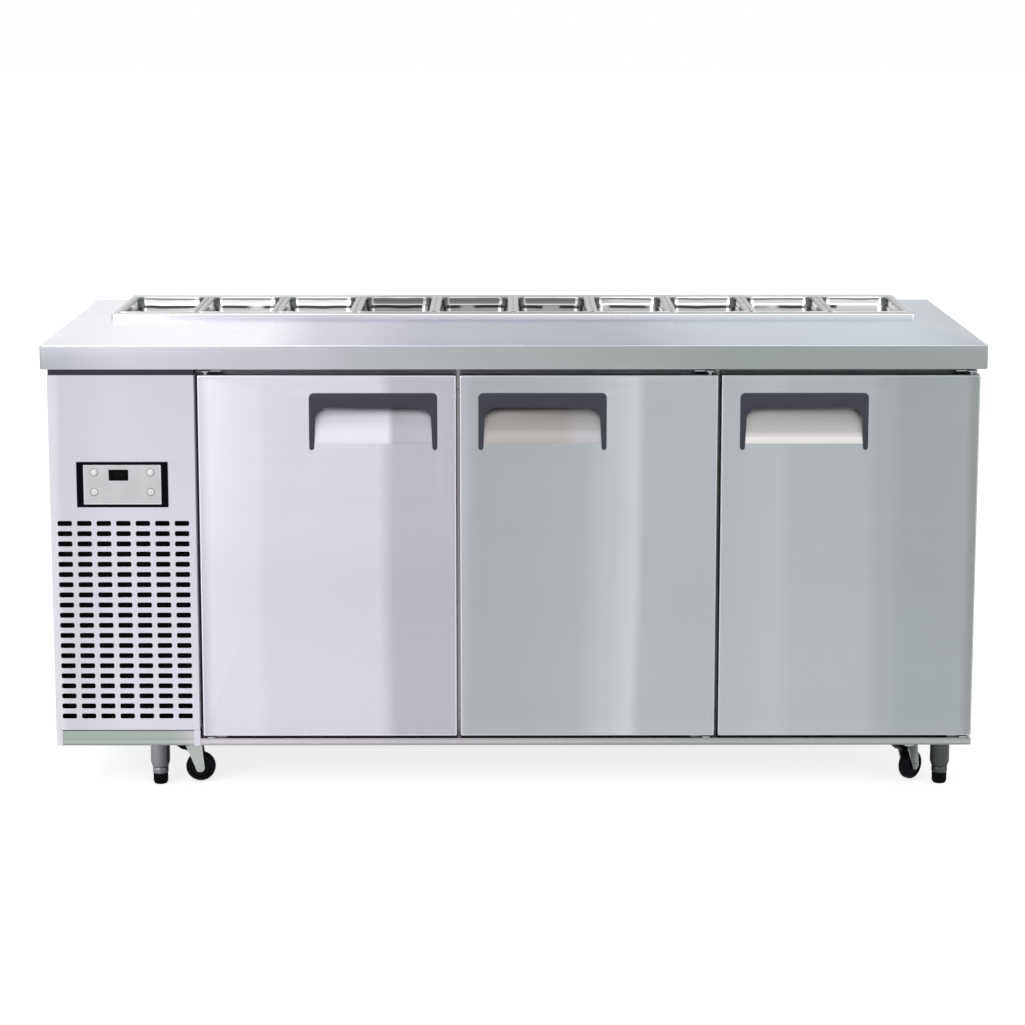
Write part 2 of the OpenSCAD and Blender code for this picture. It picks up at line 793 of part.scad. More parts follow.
module fan_motors() {
  y_shaft = fan_y - fan_h / 2 + 8;
  color(zinc) {
    translate([unit_mid_x, y_shaft, fan_z]) rotate([-90, 0, 0])
      fan_motor(fan_h, 80, 55, condenser_w, 3);
    // arms from the bar to the shroud
    for (s = [-1, 1])
      translate([unit_mid_x + s * (condenser_w / 2 - 1.5), 0, fan_z])
        block([-1.5, condenser_y + condenser_d + seam + 30, -15], [1.5, y_shaft + fan_h + 3, 15]);
    translate([evap_fan_x - 6, evap_y, evap_z]) rotate([0, -90, 0])
      fan_motor(evap_fan_h, 34, 15, evap_fan_d + 40, 2);
    for (s = [-1, 1])
      translate([0, evap_y, evap_z + s * (evap_fan_d / 2 + 19)])
        block([evap_fan_x - 6 - evap_fan_h - 2, -15, -1], [evap_x1 - evap_t - seam, 15, 1]);
  }
}

// Coil behind the evaporator's fan, and the tubes between the machine's pieces
coil_x0 = room_x0 + 6;
module evaporator_and_tubes() {
  top = floor_z + 14 + compressor_h;
  coil_top = condenser_z + condenser_h;
  hot_x = unit_mid_x + condenser_w / 2 - 14;
  liquid_x = hot_x - 20;
  tube_y = condenser_y + 24;
  hot_z = max(coil_top, pipe_z) + 38;
  liquid_z = coil_top + 8;
  color(copper) {
    // hot gas, from the compressor to the condenser
    path_tube([[unit_mid_x + 30, compressor_y, top], [unit_mid_x + 30, compressor_y, hot_z],
               [hot_x, compressor_y, hot_z], [hot_x, tube_y, hot_z], [hot_x, tube_y, coil_top]], 7);
    // suction, from the evaporator back to the compressor
    path_tube([[unit_mid_x - 30, compressor_y, top], [unit_mid_x - 30, compressor_y, pipe_z],
               [unit_mid_x - 30, suction_y, pipe_z], [coil_x0 - seam, suction_y, pipe_z]], pipe_d);
    // liquid, from the condenser to the evaporator
    path_tube([[liquid_x, tube_y, coil_top], [liquid_x, tube_y, liquid_z], [liquid_x, liquid_y, liquid_z],
               [liquid_x, liquid_y, pipe_z], [coil_x0 - seam, liquid_y, pipe_z]], 6);
    evaporator_coil();
  }
}

// A tube through a list of points, with a ball fitting at each bend
module path_tube(points, d) {
  for (i = [0:len(points) - 2]) rod(points[i], points[i + 1], d);
  for (i = [1:len(points) - 2]) translate(points[i]) sphere(d = d * 1.3);
}

module evaporator_coil() {
  y0 = evap_y0 + evap_t + seam;
  y1 = evap_y0 + evap_len - evap_t - seam;
  z0 = evap_z0 + 12;
  z1 = evap_z1 - 12;
  fin = 10;
  difference() {
    block([coil_x0, y0, z0], [coil_x0 + 20, y1, z1]);
    for (y = [y0 + fin:fin:y1 - fin])
      block([coil_x0 + 12, y, z0 + 4], [coil_x0 + 21, y + fin - 3, z1 - 4]);
  }
}

module evaporator_housing() {
  t = evap_t;
  color(bright)
    difference() {
      block([room_x0 + seam, evap_y0, evap_z0], [evap_x1, evap_y0 + evap_len, evap_z1]);
      block([room_x0 - eps, evap_y0 + t, evap_z0 + t], [evap_x1 - t, evap_y0 + evap_len - t, evap_z1 - t]);
      rod_x(evap_x1 - 5, evap_x1 + 5, evap_y, evap_z, evap_fan_d + 8);
      // air returns through slots under the fan
      for (i = [0:4])
        block([evap_x1 - 5, evap_y - 120, evap_z0 + 16 + i * 10], [evap_x1 + 5, evap_y + 120, evap_z0 + 21 + i * 10]);
    }
}

// ---- Doors ----

module hinge_brackets() {
  color(zinc)
    for (i = [1:door_count]) {
      translate([pivot_x(i), pivot_y, 0]) {
        top_bracket(hinge_side(i));
        bottom_bracket(hinge_side(i));
      }
    }
}

// Plate of a bracket: s is the side on which the door ends
module bracket_plate(s, z0) {
  translate([0, 0, z0]) cylinder(d = 20, h = 3);
  x0 = s < 0 ? -10 : -30;
  translate([x0, 0, z0]) cube([40, frame_y - pivot_y - seam, 3]);
}

module top_bracket(s) {
  z0 = door_top + 5;
  x0 = s < 0 ? -10 : -30;
  bracket_plate(s, z0);
  translate([x0, frame_y - pivot_y - seam - 3, z0]) cube([40, 3, top_gap - 5 - seam]);
  translate([0, 0, door_top - pin_len]) cylinder(d = hinge_pin_d, h = pin_len + 6);
}

module bottom_bracket(s) {
  z0 = floor_gap + base_rail_h + 0.2;
  bracket_plate(s, z0);
  translate([0, 0, z0]) cylinder(d = hinge_pin_d, h = door_bottom - z0 + pin_len);
}

// Side view of the recess behind a handle, grown by g: depth against height
scoop_z0 = door_top - handle_drop - handle_h + 14;
scoop_z1 = door_top - handle_drop - 6;
scoop_rise = 78;
module scoop_profile(g, out) {
  polygon([[-out, scoop_z0 - g], [0, scoop_z0 - g], [scoop_d + g, scoop_z0 + scoop_rise - g],
           [scoop_d + g, scoop_z1 + g], [-out, scoop_z1 + g]]);
}

// The recess as a body across the handle's width, grown by g
module scoop(i, g, out) {
  w = handle_w - 2 * 5 + 2 * g;
  translate([handle_x(i) - w / 2, face_y, 0])
    rotate([90, 0, 90]) linear_extrude(w) scoop_profile(g, out);
}

// Middle of a door's handle, near the free edge
function handle_x(i) = i == 1
  ? door_x(i) + door_w - handle_in - handle_w / 2
  : door_x(i) + handle_in + handle_w / 2;

// Both bushes of a door, grown by g, with a hole of diameter hole
module bushes(i, g) {
  for (z = [door_bottom + skin_t + seam, door_top - skin_t - seam - bush_h])
    rod_z(pivot_x(i), pivot_y, z - g, z + bush_h + g, bush_d + 2 * g);
}

module door_skin(i) {
  x0 = door_x(i);
  x1 = x0 + door_w;
  y1 = face_y + door_t - door_liner_t - seam;
  t = skin_t;
  color(steel) {
    difference() {
      union() {
        difference() {
          block([x0, face_y, door_bottom], [x1, y1, door_top]);
          block([x0 + t, face_y + t, door_bottom + t], [x1 - t, y1 + eps, door_top - t]);
        }
        scoop(i, t, 0);
      }
      scoop(i, 0, eps);
      rod_z(pivot_x(i), pivot_y, door_bottom - eps, door_top + eps, hinge_pin_d + 2 * move_gap);
    }
    difference() {
      bushes(i, 0);
      rod_z(pivot_x(i), pivot_y, door_bottom, door_top, hinge_pin_d + 2 * run_fit);
    }
  }
}

module door_core(i) {
  t = skin_t + seam;
  color(foam_c)
    difference() {
      block([door_x(i) + t, face_y + t, door_bottom + t],
            [door_x(i) + door_w - t, face_y + door_t - door_liner_t - seam, door_top - t]);
      scoop(i, t, eps);
      bushes(i, seam);
    }
}

module door_liner(i) {
  y0 = face_y + door_t - door_liner_t;
  inset = seal_in + seal_w + 4;
  color(bright) {
    difference() {
      union() {
        block([door_x(i), y0, door_bottom], [door_x(i) + door_w, y0 + door_liner_t, door_top]);
        // raised middle, inside the seal
        block([door_x(i) + inset, y0, door_bottom + inset],
              [door_x(i) + door_w - inset, y0 + door_liner_t + 6, door_top - inset]);
      }
      block([door_x(i) + inset + 2, y0 - eps, door_bottom + inset + 2],
            [door_x(i) + door_w - inset - 2, y0 + door_liner_t + 4, door_top - inset - 2]);
    }
  }
}

module door_seal(i) {
  y0 = face_y + door_t + 0.1;
  in = seal_in;
  color(black)
    ring_y([door_x(i) + in, y0, door_bottom + in],
           [door_x(i) + door_w - in, frame_y - 0.3, door_top - in], seal_w);
}

// A handle's outline about its top middle: a bar with two tapering legs
module handle_outline() {
  w = handle_w / 2;
  r_out = 9;
  r_in = 24;
  leg_top = 12;
  knee = -handle_bar - r_in;
  tip = handle_leg / 2;
  right = concat(
    arc([w - r_out, -r_out], r_out, 90, 0, 6),
    arc([w - tip, -handle_h + tip], tip, 0, -180, 10),
    arc([w - leg_top - r_in, knee], r_in, 0, 90, 8));
  n = len(right);
  left = [for (k = [n - 1:-1:0]) [-right[k][0], right[k][1]]];
  polygon(concat(right, left));
}

module door_handle(i) {
  z = door_top - handle_drop;
  out = 2.5;
  color(slate) {
    translate([handle_x(i), face_y, z]) {
      rotate([90, 0, 0]) linear_extrude(out) handle_outline();
      // the grip turns in behind the bar's lower edge
      block([-handle_w / 2 + 40, -0.5, -handle_bar], [handle_w / 2 - 40, 10, -handle_bar + 3]);
    }
  }
}

// ---- Pans ----

module pan(i) {
  t = pan_t;
  r = pan_r - 2;
  color(bright)
    translate([pan_x(i), pan_y, 0])
      difference() {
        union() {
          translate([0, 0, rail_top]) linear_extrude(t) round_rect(pan_w, pan_l, pan_r);
          translate([0, 0, pan_bottom]) linear_extrude(pan_h - t / 2) round_rect(pan_body_w, pan_body_l, r);
        }
        translate([0, 0, pan_bottom + t])
          linear_extrude(pan_h + eps) round_rect(pan_body_w - 2 * t, pan_body_l - 2 * t, r - t);
      }
}

// ---- Feet and casters ----

module leg_and_caster_mounts() {
  color(zinc) {
    for (x = leg_x) {
      difference() {
        union() {
          rod_z(x, leg_y, leg_z + 10, floor_gap, leg_d);
          translate([x, leg_y, leg_z]) cylinder(d1 = leg_d - 6, d2 = leg_d, h = 10);
        }
        rod_z(x, leg_y, leg_z - eps, floor_gap - 4, foot_stem_d + 2 * run_fit);
      }
    }
    for (x = caster_x) {
      block([x - 28, caster_y - 28, floor_gap - plate_t], [x + 28, caster_y + 28, floor_gap]);
      rod_z(x, caster_y, floor_gap - plate_t - race_h, floor_gap - plate_t, race_d);
      rod_z(x, caster_y, crown_z0 - 3, floor_gap - plate_t - race_h, kingpin_d);
    }
    // fixed forks of the rear casters
    for (s = [-1, 1])
      translate([s * rear_x, rear_y, 0]) {
        block([-28, -28, floor_gap - plate_t], [28, 28, floor_gap]);
        fork_legs(floor_gap - plate_t, rear_axle_z, 0);
        rod_x(-axle_l / 2, axle_l / 2, 0, rear_axle_z, axle_d);
      }
  }
}

// Places what belongs to a front caster, given as if it pointed straight ahead
module at_caster(side) {
  translate([caster_x[side], caster_y, 0])
    rotate([0, 0, side == 0 ? -left_turn : -right_turn]) children();
}

// A fork that turns on its kingpin, with the axle behind and the pedal's pin in front
module caster_fork(side) {
  color(zinc)
    at_caster(side) {
      difference() {
        union() {
          translate([0, 0, crown_z0]) cylinder(d = 44, h = crown_z1 - crown_z0);
          fork_legs(crown_z0, front_axle_z, trail);
        }
        translate([0, 0, crown_z0 - eps]) cylinder(d = kingpin_d + 2 * run_fit, h = 10);
      }
      rod_x(-axle_l / 2, axle_l / 2, trail, front_axle_z, axle_d);
      rod_x(-fork_in - 1, fork_in + 1, pedal_y, pedal_z, pedal_pin_d);
    }
}

// Two fork legs from a height z1 down to an axle at height z0, y behind
module fork_legs(z1, z0, y) {
  for (x = [fork_in, -fork_in - fork_t])
    translate([x, 0, 0])
      rotate([90, 0, 90]) linear_extrude(fork_t) {
        translate([y, z0]) circle(9);
        polygon([[-16, z1 + 0.5], [16, z1 + 0.5], [y + 9, z0], [y - 9, z0]]);
      }
}

// A pedal that rocks on its pin, and its sloping plate
module brake_pedal(side) {
  w = 2 * fork_in - 2;
  far = -pedal_reach;
  color(black)
    at_caster(side)
      difference() {
        union() {
          rod_x(-w / 2, w / 2, pedal_y, pedal_z, 10);
          translate([-w / 2, 0, 0])
            rotate([90, 0, 90]) linear_extrude(w)
              polygon([[pedal_y, pedal_z - 4], [-24, pedal_z - 1], [far, pedal_z + 11], [far, pedal_z + 15],
                       [-24, pedal_z + 4], [pedal_y, pedal_z + 4]]);
        }
        rod_x(-w, w, pedal_y, pedal_z, pedal_pin_d + 2 * run_fit);
      }
}

// A wheel about its axle, along X
module wheel_shape() {
  r = wheel_d / 2;
  c = 5;
  rotate([0, 90, 0])
    rotate_extrude($fn = 64)
      polygon(concat([[axle_d / 2 + run_fit, -wheel_w / 2], [r - c, -wheel_w / 2]],
                     arc([r - c, -wheel_w / 2 + c], c, -90, 0, 5),
                     arc([r - c, wheel_w / 2 - c], c, 0, 90, 5),
                     [[axle_d / 2 + run_fit, wheel_w / 2]]));
}

module front_wheel(side) {
  color(black) at_caster(side) translate([0, trail, front_axle_z]) wheel_shape();
}

module rear_wheel(s) {
  color(black) translate([s * rear_x, rear_y, rear_axle_z]) wheel_shape();
}

module foot(side) {
  color(black)
    translate([leg_x[side], leg_y, 0]) {
      rotate_extrude()
        polygon(concat([[0, 0]], [[foot_d / 2 - 4, 0], [foot_d / 2, 5], [foot_d / 2, foot_rubber_h],
                        [foot_d / 2 + 1, foot_rubber_h], [foot_d / 2 + 1, foot_rubber_h + foot_ring_h],
                        [0, foot_rubber_h + foot_ring_h]]));
      translate([0, 0, foot_rubber_h + foot_ring_h - 1]) cylinder(d = foot_stem_d, h = foot_stem_h);
    }
}

// ---- Small parts ----

module cable_gland() {
  color(black)
    difference() {
      union() {
        rod_y(gland_x, back_y + 0.1, back_y + 8, gland_z, gland_d + 8);
        rod_y(gland_x, back_y - 10, back_y + 1, gland_z, gland_d);
      }
      rod_y(gland_x, back_y - 11, back_y + 9, gland_z, 10);
    }
}

module bolt_head(d, h) {
  cylinder(d = d, h = h);
}

module fasteners() {
  color(zinc) {
    for (c = [[caster_x[0], caster_y], [caster_x[1], caster_y], [-rear_x, rear_y], [rear_x, rear_y]])
      for (sx = [-1, 1], sy = [-1, 1])
        translate([c[0] + sx * 21.5, c[1] + sy * 21.5, floor_gap - plate_t - 4]) bolt_head(9, 4);
    // screws that hold the back panel
    for (x = [-body_x + 30, 0, body_x - 30], z = [floor_gap + 30, body_top - 30])
      translate([x, back_y, z]) rotate([-90, 0, 0]) bolt_head(8, 2.5);
    // screws that hold the hinge brackets
    for (i = [1:door_count])
      translate([pivot_x(i) - hinge_side(i) * 18, frame_y - seam - 3, door_top + top_gap / 2 + 4])
        rotate([90, 0, 0]) bolt_head(min(5, top_gap - 8.4), 2);
  }
}

outer_shell();
door_frame();
cabinet_foam();
inner_liner();
worktop();
pan_rail();
wire_shelves();
unit_front_panel();
controller_bezel();
controller_face();
controller_button(1);  // controller_button_1
controller_button(2);  // controller_button_2
controller_button(3);  // controller_button_3
controller_button(4);  // controller_button_4
compressor();
condenser_coil();
fan_motors();
condenser_fan_blade();
evaporator_and_tubes();
evaporator_housing();
evaporator_fan_blade();
hinge_brackets();
door_skin(1);  // door_1_skin
door_core(1);  // door_1_core
door_liner(1);  // door_1_liner
door_seal(1);  // door_1_seal
door_handle(1);  // door_1_handle
door_skin(2);  // door_2_skin
door_core(2);  // door_2_core
door_liner(2);  // door_2_liner
door_seal(2);  // door_2_seal
door_handle(2);  // door_2_handle
door_skin(3);  // door_3_skin
door_core(3);  // door_3_core
door_liner(3);  // door_3_liner
door_seal(3);  // door_3_seal
door_handle(3);  // door_3_handle
pan(1);  // pan_1
pan(2);  // pan_2
pan(3);  // pan_3
pan(4);  // pan_4
pan(5);  // pan_5
pan(6);  // pan_6
pan(7);  // pan_7
pan(8);  // pan_8
pan(9);  // pan_9
pan(10);  // pan_10
leg_and_caster_mounts();
caster_fork(0);  // left_caster_fork
caster_fork(1);  // right_caster_fork
brake_pedal(0);  // left_brake_pedal
brake_pedal(1);  // right_brake_pedal
front_wheel(0);  // left_front_wheel
front_wheel(1);  // right_front_wheel
rear_wheel(-1);  // left_rear_wheel
rear_wheel(1);  // right_rear_wheel
foot(0);  // left_foot
foot(1);  // right_foot
cable_gland();
fasteners();
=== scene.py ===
# %% [markdown]
# Sandwich prep table, a refrigerated steel cabinet with a rail of lift-out pans.
# The solid model arrives as a fixed frame in metres, with one named node for each part.
# This lesson keeps every part in its place and gives it the edges, folds and finishes
# that a maker would see on the real cabinet.

# %% Load the frame
import json
import math
import bmesh
import bpy
from mathutils import Matrix, Vector


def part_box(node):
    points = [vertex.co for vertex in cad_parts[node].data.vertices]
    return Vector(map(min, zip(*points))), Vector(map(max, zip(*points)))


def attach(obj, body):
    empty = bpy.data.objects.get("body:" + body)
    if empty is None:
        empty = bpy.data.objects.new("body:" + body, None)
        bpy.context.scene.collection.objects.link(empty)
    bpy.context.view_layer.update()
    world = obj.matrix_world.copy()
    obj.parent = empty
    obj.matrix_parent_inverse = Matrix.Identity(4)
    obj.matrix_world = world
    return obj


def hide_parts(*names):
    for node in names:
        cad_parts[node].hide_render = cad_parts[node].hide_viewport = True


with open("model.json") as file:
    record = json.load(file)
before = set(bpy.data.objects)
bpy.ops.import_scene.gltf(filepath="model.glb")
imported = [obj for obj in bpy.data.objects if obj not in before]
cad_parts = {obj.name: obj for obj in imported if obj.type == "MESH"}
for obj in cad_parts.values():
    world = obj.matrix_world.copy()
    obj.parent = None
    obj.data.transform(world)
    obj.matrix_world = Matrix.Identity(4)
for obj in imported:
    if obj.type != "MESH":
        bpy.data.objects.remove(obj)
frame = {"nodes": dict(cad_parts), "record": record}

NODES = frame["nodes"]
BODY_OF = {n: b for b, names in frame["record"]["behaviour"]["bodies"].items() for n in names}
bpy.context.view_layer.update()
scene = bpy.context.scene

# %% [markdown]
# The camera stands about five metres in front of the doors, a little above the worktop,
# and tilts down a little. A long lens keeps the upright edges nearly parallel. The shift
# slides the picture up or down without tilting the camera any further, as a view camera
# does, so the cabinet sits where it should in the frame.

# %% Camera
camera_place = (-0.0178, -5.1129, 1.5650)
tilt_down, turn_right = 8.568, 0.178
lens_mm, lens_shift = 89.16, -0.1463
camera_data = bpy.data.cameras.new("front_camera")
camera_data.sensor_width = 36
camera_data.lens = lens_mm
camera_data.shift_y = lens_shift
camera = bpy.data.objects.new("front_camera", camera_data)
camera.location = camera_place
camera.rotation_euler = (math.radians(90 - tilt_down), 0, math.radians(-turn_right))
scene.collection.objects.link(camera)
scene.camera = camera
scene.view_settings.view_transform = "Standard"
print("camera at", camera_place, "lens", lens_mm, "mm, tilted down", tilt_down, "degrees")

# %% [markdown]
# A material is a small network of nodes. `start_finish` makes one with its plain numbers
# on the shader's own sockets, and `add` puts in a node and wires its inputs. Everything
# that varies over a surface, such as grain, comes from noise in the object's own
# coordinates, so it stays with the part when the part moves.

# %% Helpers for finishes
def start_finish(name, color, metallic=0.0, roughness=0.5, **sockets):
    finish = bpy.data.materials.new(name)
    finish.use_nodes = True
    tree = finish.node_tree
    shader = tree.nodes["Principled BSDF"]
    shader.inputs["Base Color"].default_value = (*color, 1)
    shader.inputs["Metallic"].default_value = metallic
    shader.inputs["Roughness"].default_value = roughness
    for socket, value in sockets.items():
        shader.inputs[socket.replace("_", " ")].default_value = value
    return finish, tree, shader


def add(tree, kind, inputs=None, **settings):
    node = tree.nodes.new(kind)
    for key, value in settings.items():
        setattr(node, key, value)
    for key, value in (inputs or {}).items():
        if isinstance(value, bpy.types.NodeSocket):
            tree.links.new(value, node.inputs[key])
        else:
            node.inputs[key].default_value = value
    return node


def grain(tree, stretch, detail=3.0, seed=0.0):
    """Noise in object coordinates; stretch is how many features a metre holds along X, Y and Z."""
    place = add(tree, "ShaderNodeTexCoord").outputs["Object"]
    scaled = add(tree, "ShaderNodeMapping", {"Vector": place, "Scale": stretch, "Location": (seed,) * 3})
    noise = {"Vector": scaled.outputs["Vector"], "Scale": 1.0, "Detail": detail, "Roughness": 0.55}
    return add(tree, "ShaderNodeTexNoise", noise).outputs["Fac"]


def spread(tree, value, low, high, first=0.3, last=0.7):
    """Maps the useful middle of a noise to the range low to high."""
    return add(tree, "ShaderNodeMapRange", {"Value": value, "From Min": first, "From Max": last,
                                            "To Min": low, "To Max": high}).outputs["Result"]


def mixed(tree, share, a, b, how="MIX"):
    """From colour a to colour b as share goes from 0 to 1; each of the three may be a socket."""
    node = add(tree, "ShaderNodeMix", data_type="RGBA", blend_type=how)
    for socket, value in ((0, share), (6, a), (7, b)):
        if isinstance(value, bpy.types.NodeSocket):
            tree.links.new(value, node.inputs[socket])
        else:
            node.inputs[socket].default_value = (*value, 1) if isinstance(value, tuple) else value
    return node.outputs[2]


def product(tree, a, b):
    return mixed(tree, 1.0, a, b, "MULTIPLY")


def bumped(tree, shader, height, strength, distance):
    bump = add(tree, "ShaderNodeBump", {"Height": height, "Strength": strength, "Distance": distance})
    tree.links.new(bump.outputs["Normal"], shader.inputs["Normal"])


print("helpers for finishes are ready")

# %% [markdown]
# Light and its reflections change slowly over a steel sheet's width or height, and these
# helpers paint that light and shade into the sheet's colour. `along` gives the position on
# the part, `wavered` lets it wander a little, and `tones_over` turns it into a soft run of
# colours. A stop of that run is a share of the way and its grey or colour.

# %% Helpers for tones
def along(tree, axis):
    """Position along one axis of the object, in metres."""
    place = add(tree, "ShaderNodeTexCoord").outputs["Object"]
    return add(tree, "ShaderNodeSeparateXYZ", {"Vector": place}).outputs[axis]


def wavered(tree, value, noise, amount):
    """A position that wanders a little, so that a tone's edge is never ruled."""
    offset = spread(tree, noise, -amount, amount)
    return add(tree, "ShaderNodeMath", {0: value, 1: offset}, operation="ADD").outputs[0]


def tones_over(tree, value, first, last, stops):
    """Soft tones as value goes from first to last; each stop is (share of the way, tone)."""
    share = add(tree, "ShaderNodeMapRange", {"Value": value, "From Min": first, "From Max": last})
    ramp = add(tree, "ShaderNodeValToRGB", {"Fac": share.outputs["Result"]})
    ramp.color_ramp.interpolation = "EASE"
    elements = ramp.color_ramp.elements
    for k, (at, tone) in enumerate(stops):
        stop = elements[k] if k < 2 else elements.new(at)
        stop.position = at
        stop.color = (*(tone if isinstance(tone, tuple) else (tone,) * 3), 1)
    return ramp.outputs["Color"]


print("tones run along X, Y or Z of a part")

# %% [markdown]
# Brushed stainless steel is a metal with fine parallel scratches. The scratches spread a
# reflection across themselves, so each sheet shows soft upright bands. Anisotropy on the
# shader spreads the reflection the same way, a stretched noise varies the roughness a
# little, and a fine bump gives the scratches themselves. A sheet may also have painted
# light and shade: soft tones across its width and bands up its height, which stand in for
# the reflections and shade that fall on it.

# %% Brushed steel
def steel(name, color, roughness=0.3, scratch=(2.5, 220, 220), anisotropy=0.6, turn=0.25, axis="Z",
          tones=None, bands=None):
    """tones is (first x, last x, stops) of painted light across a sheet; bands is (first z, last z, stops)
    of painted light and shade up it.
    """
    finish, tree, shader = start_finish(name, color, metallic=1.0, roughness=roughness,
                                        Anisotropic=anisotropy, Anisotropic_Rotation=turn)
    tangent = add(tree, "ShaderNodeTangent", direction_type="RADIAL", axis=axis)
    tree.links.new(tangent.outputs["Tangent"], shader.inputs["Tangent"])
    lines = grain(tree, scratch, detail=4.0)
    cloud = grain(tree, (3, 3, 3), detail=2.0, seed=2.0)
    rough = add(tree, "ShaderNodeMath", {0: spread(tree, lines, roughness - 0.015, roughness + 0.02),
                                         1: spread(tree, cloud, -0.03, 0.03)}, operation="ADD")
    tree.links.new(rough.outputs[0], shader.inputs["Roughness"])
    base = mixed(tree, spread(tree, cloud, 0.0, 1.0), tuple(c * 0.97 for c in color), color)
    # Painted light and shade: tones across the sheet and bands up it stand in for reflections and shade.
    if tones:
        waver = grain(tree, (0.4, 0.4, 1.1), detail=1.0, seed=tones[0])
        base = tones_over(tree, wavered(tree, along(tree, "X"), waver, 0.008), *tones)
    if bands:
        waver = grain(tree, (1.1, 0.4, 0.4), detail=1.0, seed=bands[0])
        height = wavered(tree, along(tree, "Z"), waver, 0.0006)
        base = product(tree, base, tones_over(tree, height, *bands))
    shade = mixed(tree, spread(tree, lines, 0.0, 1.0), (0.994,) * 3, (1.0,) * 3)
    tree.links.new(product(tree, base, shade), shader.inputs["Base Color"])
    bumped(tree, shader, lines, 0.010, 0.0001)
    return finish


body_steel = steel("brushed_steel_body", (0.46, 0.48, 0.50), scratch=(220, 220, 2.5))
liner_steel = steel("liner_steel", (0.58, 0.59, 0.60), roughness=0.36)
fork_steel = steel("fork_steel", (0.50, 0.53, 0.51), roughness=0.4)
print("plain steel finishes:", body_steel.name, liner_steel.name, fork_steel.name)

# %% [markdown]
# The doors and the machine panel stand side by side in the same light, which runs from a
# cool lilac at the left to a greener grey at the right, and that light and its reflections
# are painted into their colours. Each sheet takes its painted tones from its own left edge
# to its own right edge, and the folded edges of the doors have a painted highlight of
# their own, for the bright line that a bend shows.

# %% Door and panel sheets
EDGE_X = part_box("outer_shell")[0].x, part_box("outer_shell")[1].x
DOOR_X = {k: (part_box(f"door_{k}_skin")[0].x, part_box(f"door_{k}_skin")[1].x) for k in (1, 2, 3)}
DOOR_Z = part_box("door_1_skin")[0].z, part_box("door_1_skin")[1].z
PANEL_X = EDGE_X[0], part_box("unit_front_panel")[1].x
LILAC = (0.715, 0.705, 0.785)
PALE_LILAC = (0.665, 0.655, 0.735)
PEARL = (0.765, 0.748, 0.812)
MIST = (0.530, 0.530, 0.590)
CLOUD = (0.440, 0.470, 0.490)
BRIGHT = (0.500, 0.530, 0.555)
SAGE = (0.400, 0.430, 0.440)
DUSK = (0.370, 0.400, 0.405)
# Painted reflections, light and shade: each door's tones across it and bands up it.
steel_with_painted_light_of_door = {
    1: steel("brushed_steel_door_1_painted_light", LILAC,
             tones=(*DOOR_X[1], [(0.0, (0.60, 0.59, 0.66)), (0.05, PEARL), (0.21, PEARL), (0.27, LILAC),
                                 (0.69, LILAC), (0.765, MIST), (1.0, MIST)]),
             bands=(*DOOR_Z, [(0.0, 0.92), (0.40, 0.90), (0.62, 0.97), (0.75, 1.0), (1.0, 1.02)])),
    2: steel("brushed_steel_door_2_painted_light", CLOUD,
             tones=(*DOOR_X[2], [(0.0, (0.45, 0.46, 0.50)), (0.06, SAGE), (0.20, (0.40, 0.43, 0.45)),
                                 (0.45, (0.42, 0.45, 0.47)), (0.58, BRIGHT), (0.67, (0.57, 0.60, 0.62)),
                                 (0.72, CLOUD), (1.0, CLOUD)]),
             bands=(*DOOR_Z, [(0.0, 1.07), (0.07, 1.01), (0.35, 1.0), (0.55, 1.03), (0.75, 1.06),
                              (0.90, 1.08), (1.0, 1.12)])),
    3: steel("brushed_steel_door_3_painted_light", CLOUD,
             tones=(*DOOR_X[3], [(0.0, CLOUD), (0.20, (0.48, 0.51, 0.53)), (0.30, CLOUD), (0.55, CLOUD),
                                 (0.64, SAGE), (0.72, DUSK), (0.94, DUSK), (0.975, (0.30, 0.32, 0.32)),
                                 (1.0, (0.28, 0.30, 0.31))]),
             bands=(*DOOR_Z, [(0.0, 1.08), (0.07, 1.02), (0.40, 1.01), (0.65, 1.04), (1.0, 1.05)]))}
# Painted reflections and light across the machine panel.
panel_steel_painted_light = steel("brushed_steel_panel_painted_light", LILAC, tones=(*PANEL_X, [
    (0.0, (0.70, 0.69, 0.75)), (0.04, (0.69, 0.68, 0.74)), (0.09, (0.61, 0.60, 0.66)), (0.50, PALE_LILAC),
    (1.0, PALE_LILAC)]))
# Painted highlight for the folded edges of the doors, bright at the left and dimmer at the right.
edge_steel = steel("door_edge_steel", PEARL, tones=(*EDGE_X, [
    (0.0, (0.86, 0.85, 0.90)), (0.40, (0.80, 0.79, 0.84)), (0.48, (0.62, 0.63, 0.66)),
    (1.0, (0.52, 0.54, 0.55))]))
print("door finishes:", [finish.name for finish in steel_with_painted_light_of_door.values()])

# %% [markdown]
# The scoop behind each handle catches the light from above, and that light is painted
# into its finish: its lower rim is a painted highlight band, its hood painted shade, the
# darkest, and across each scoop the painted reflections change tone. The height of the
# bands comes from the scoop's own foot and rise, which the door's mesh uses too.

# %% Scoops
SCOOP_FOOT, SCOOP_RISE = 0.014, 0.078
SCOOP_Z = [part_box("door_1_handle")[0].z + SCOOP_FOOT + up for up in (0, SCOOP_RISE)]
SCOOP_LILAC = (0.71, 0.695, 0.775)
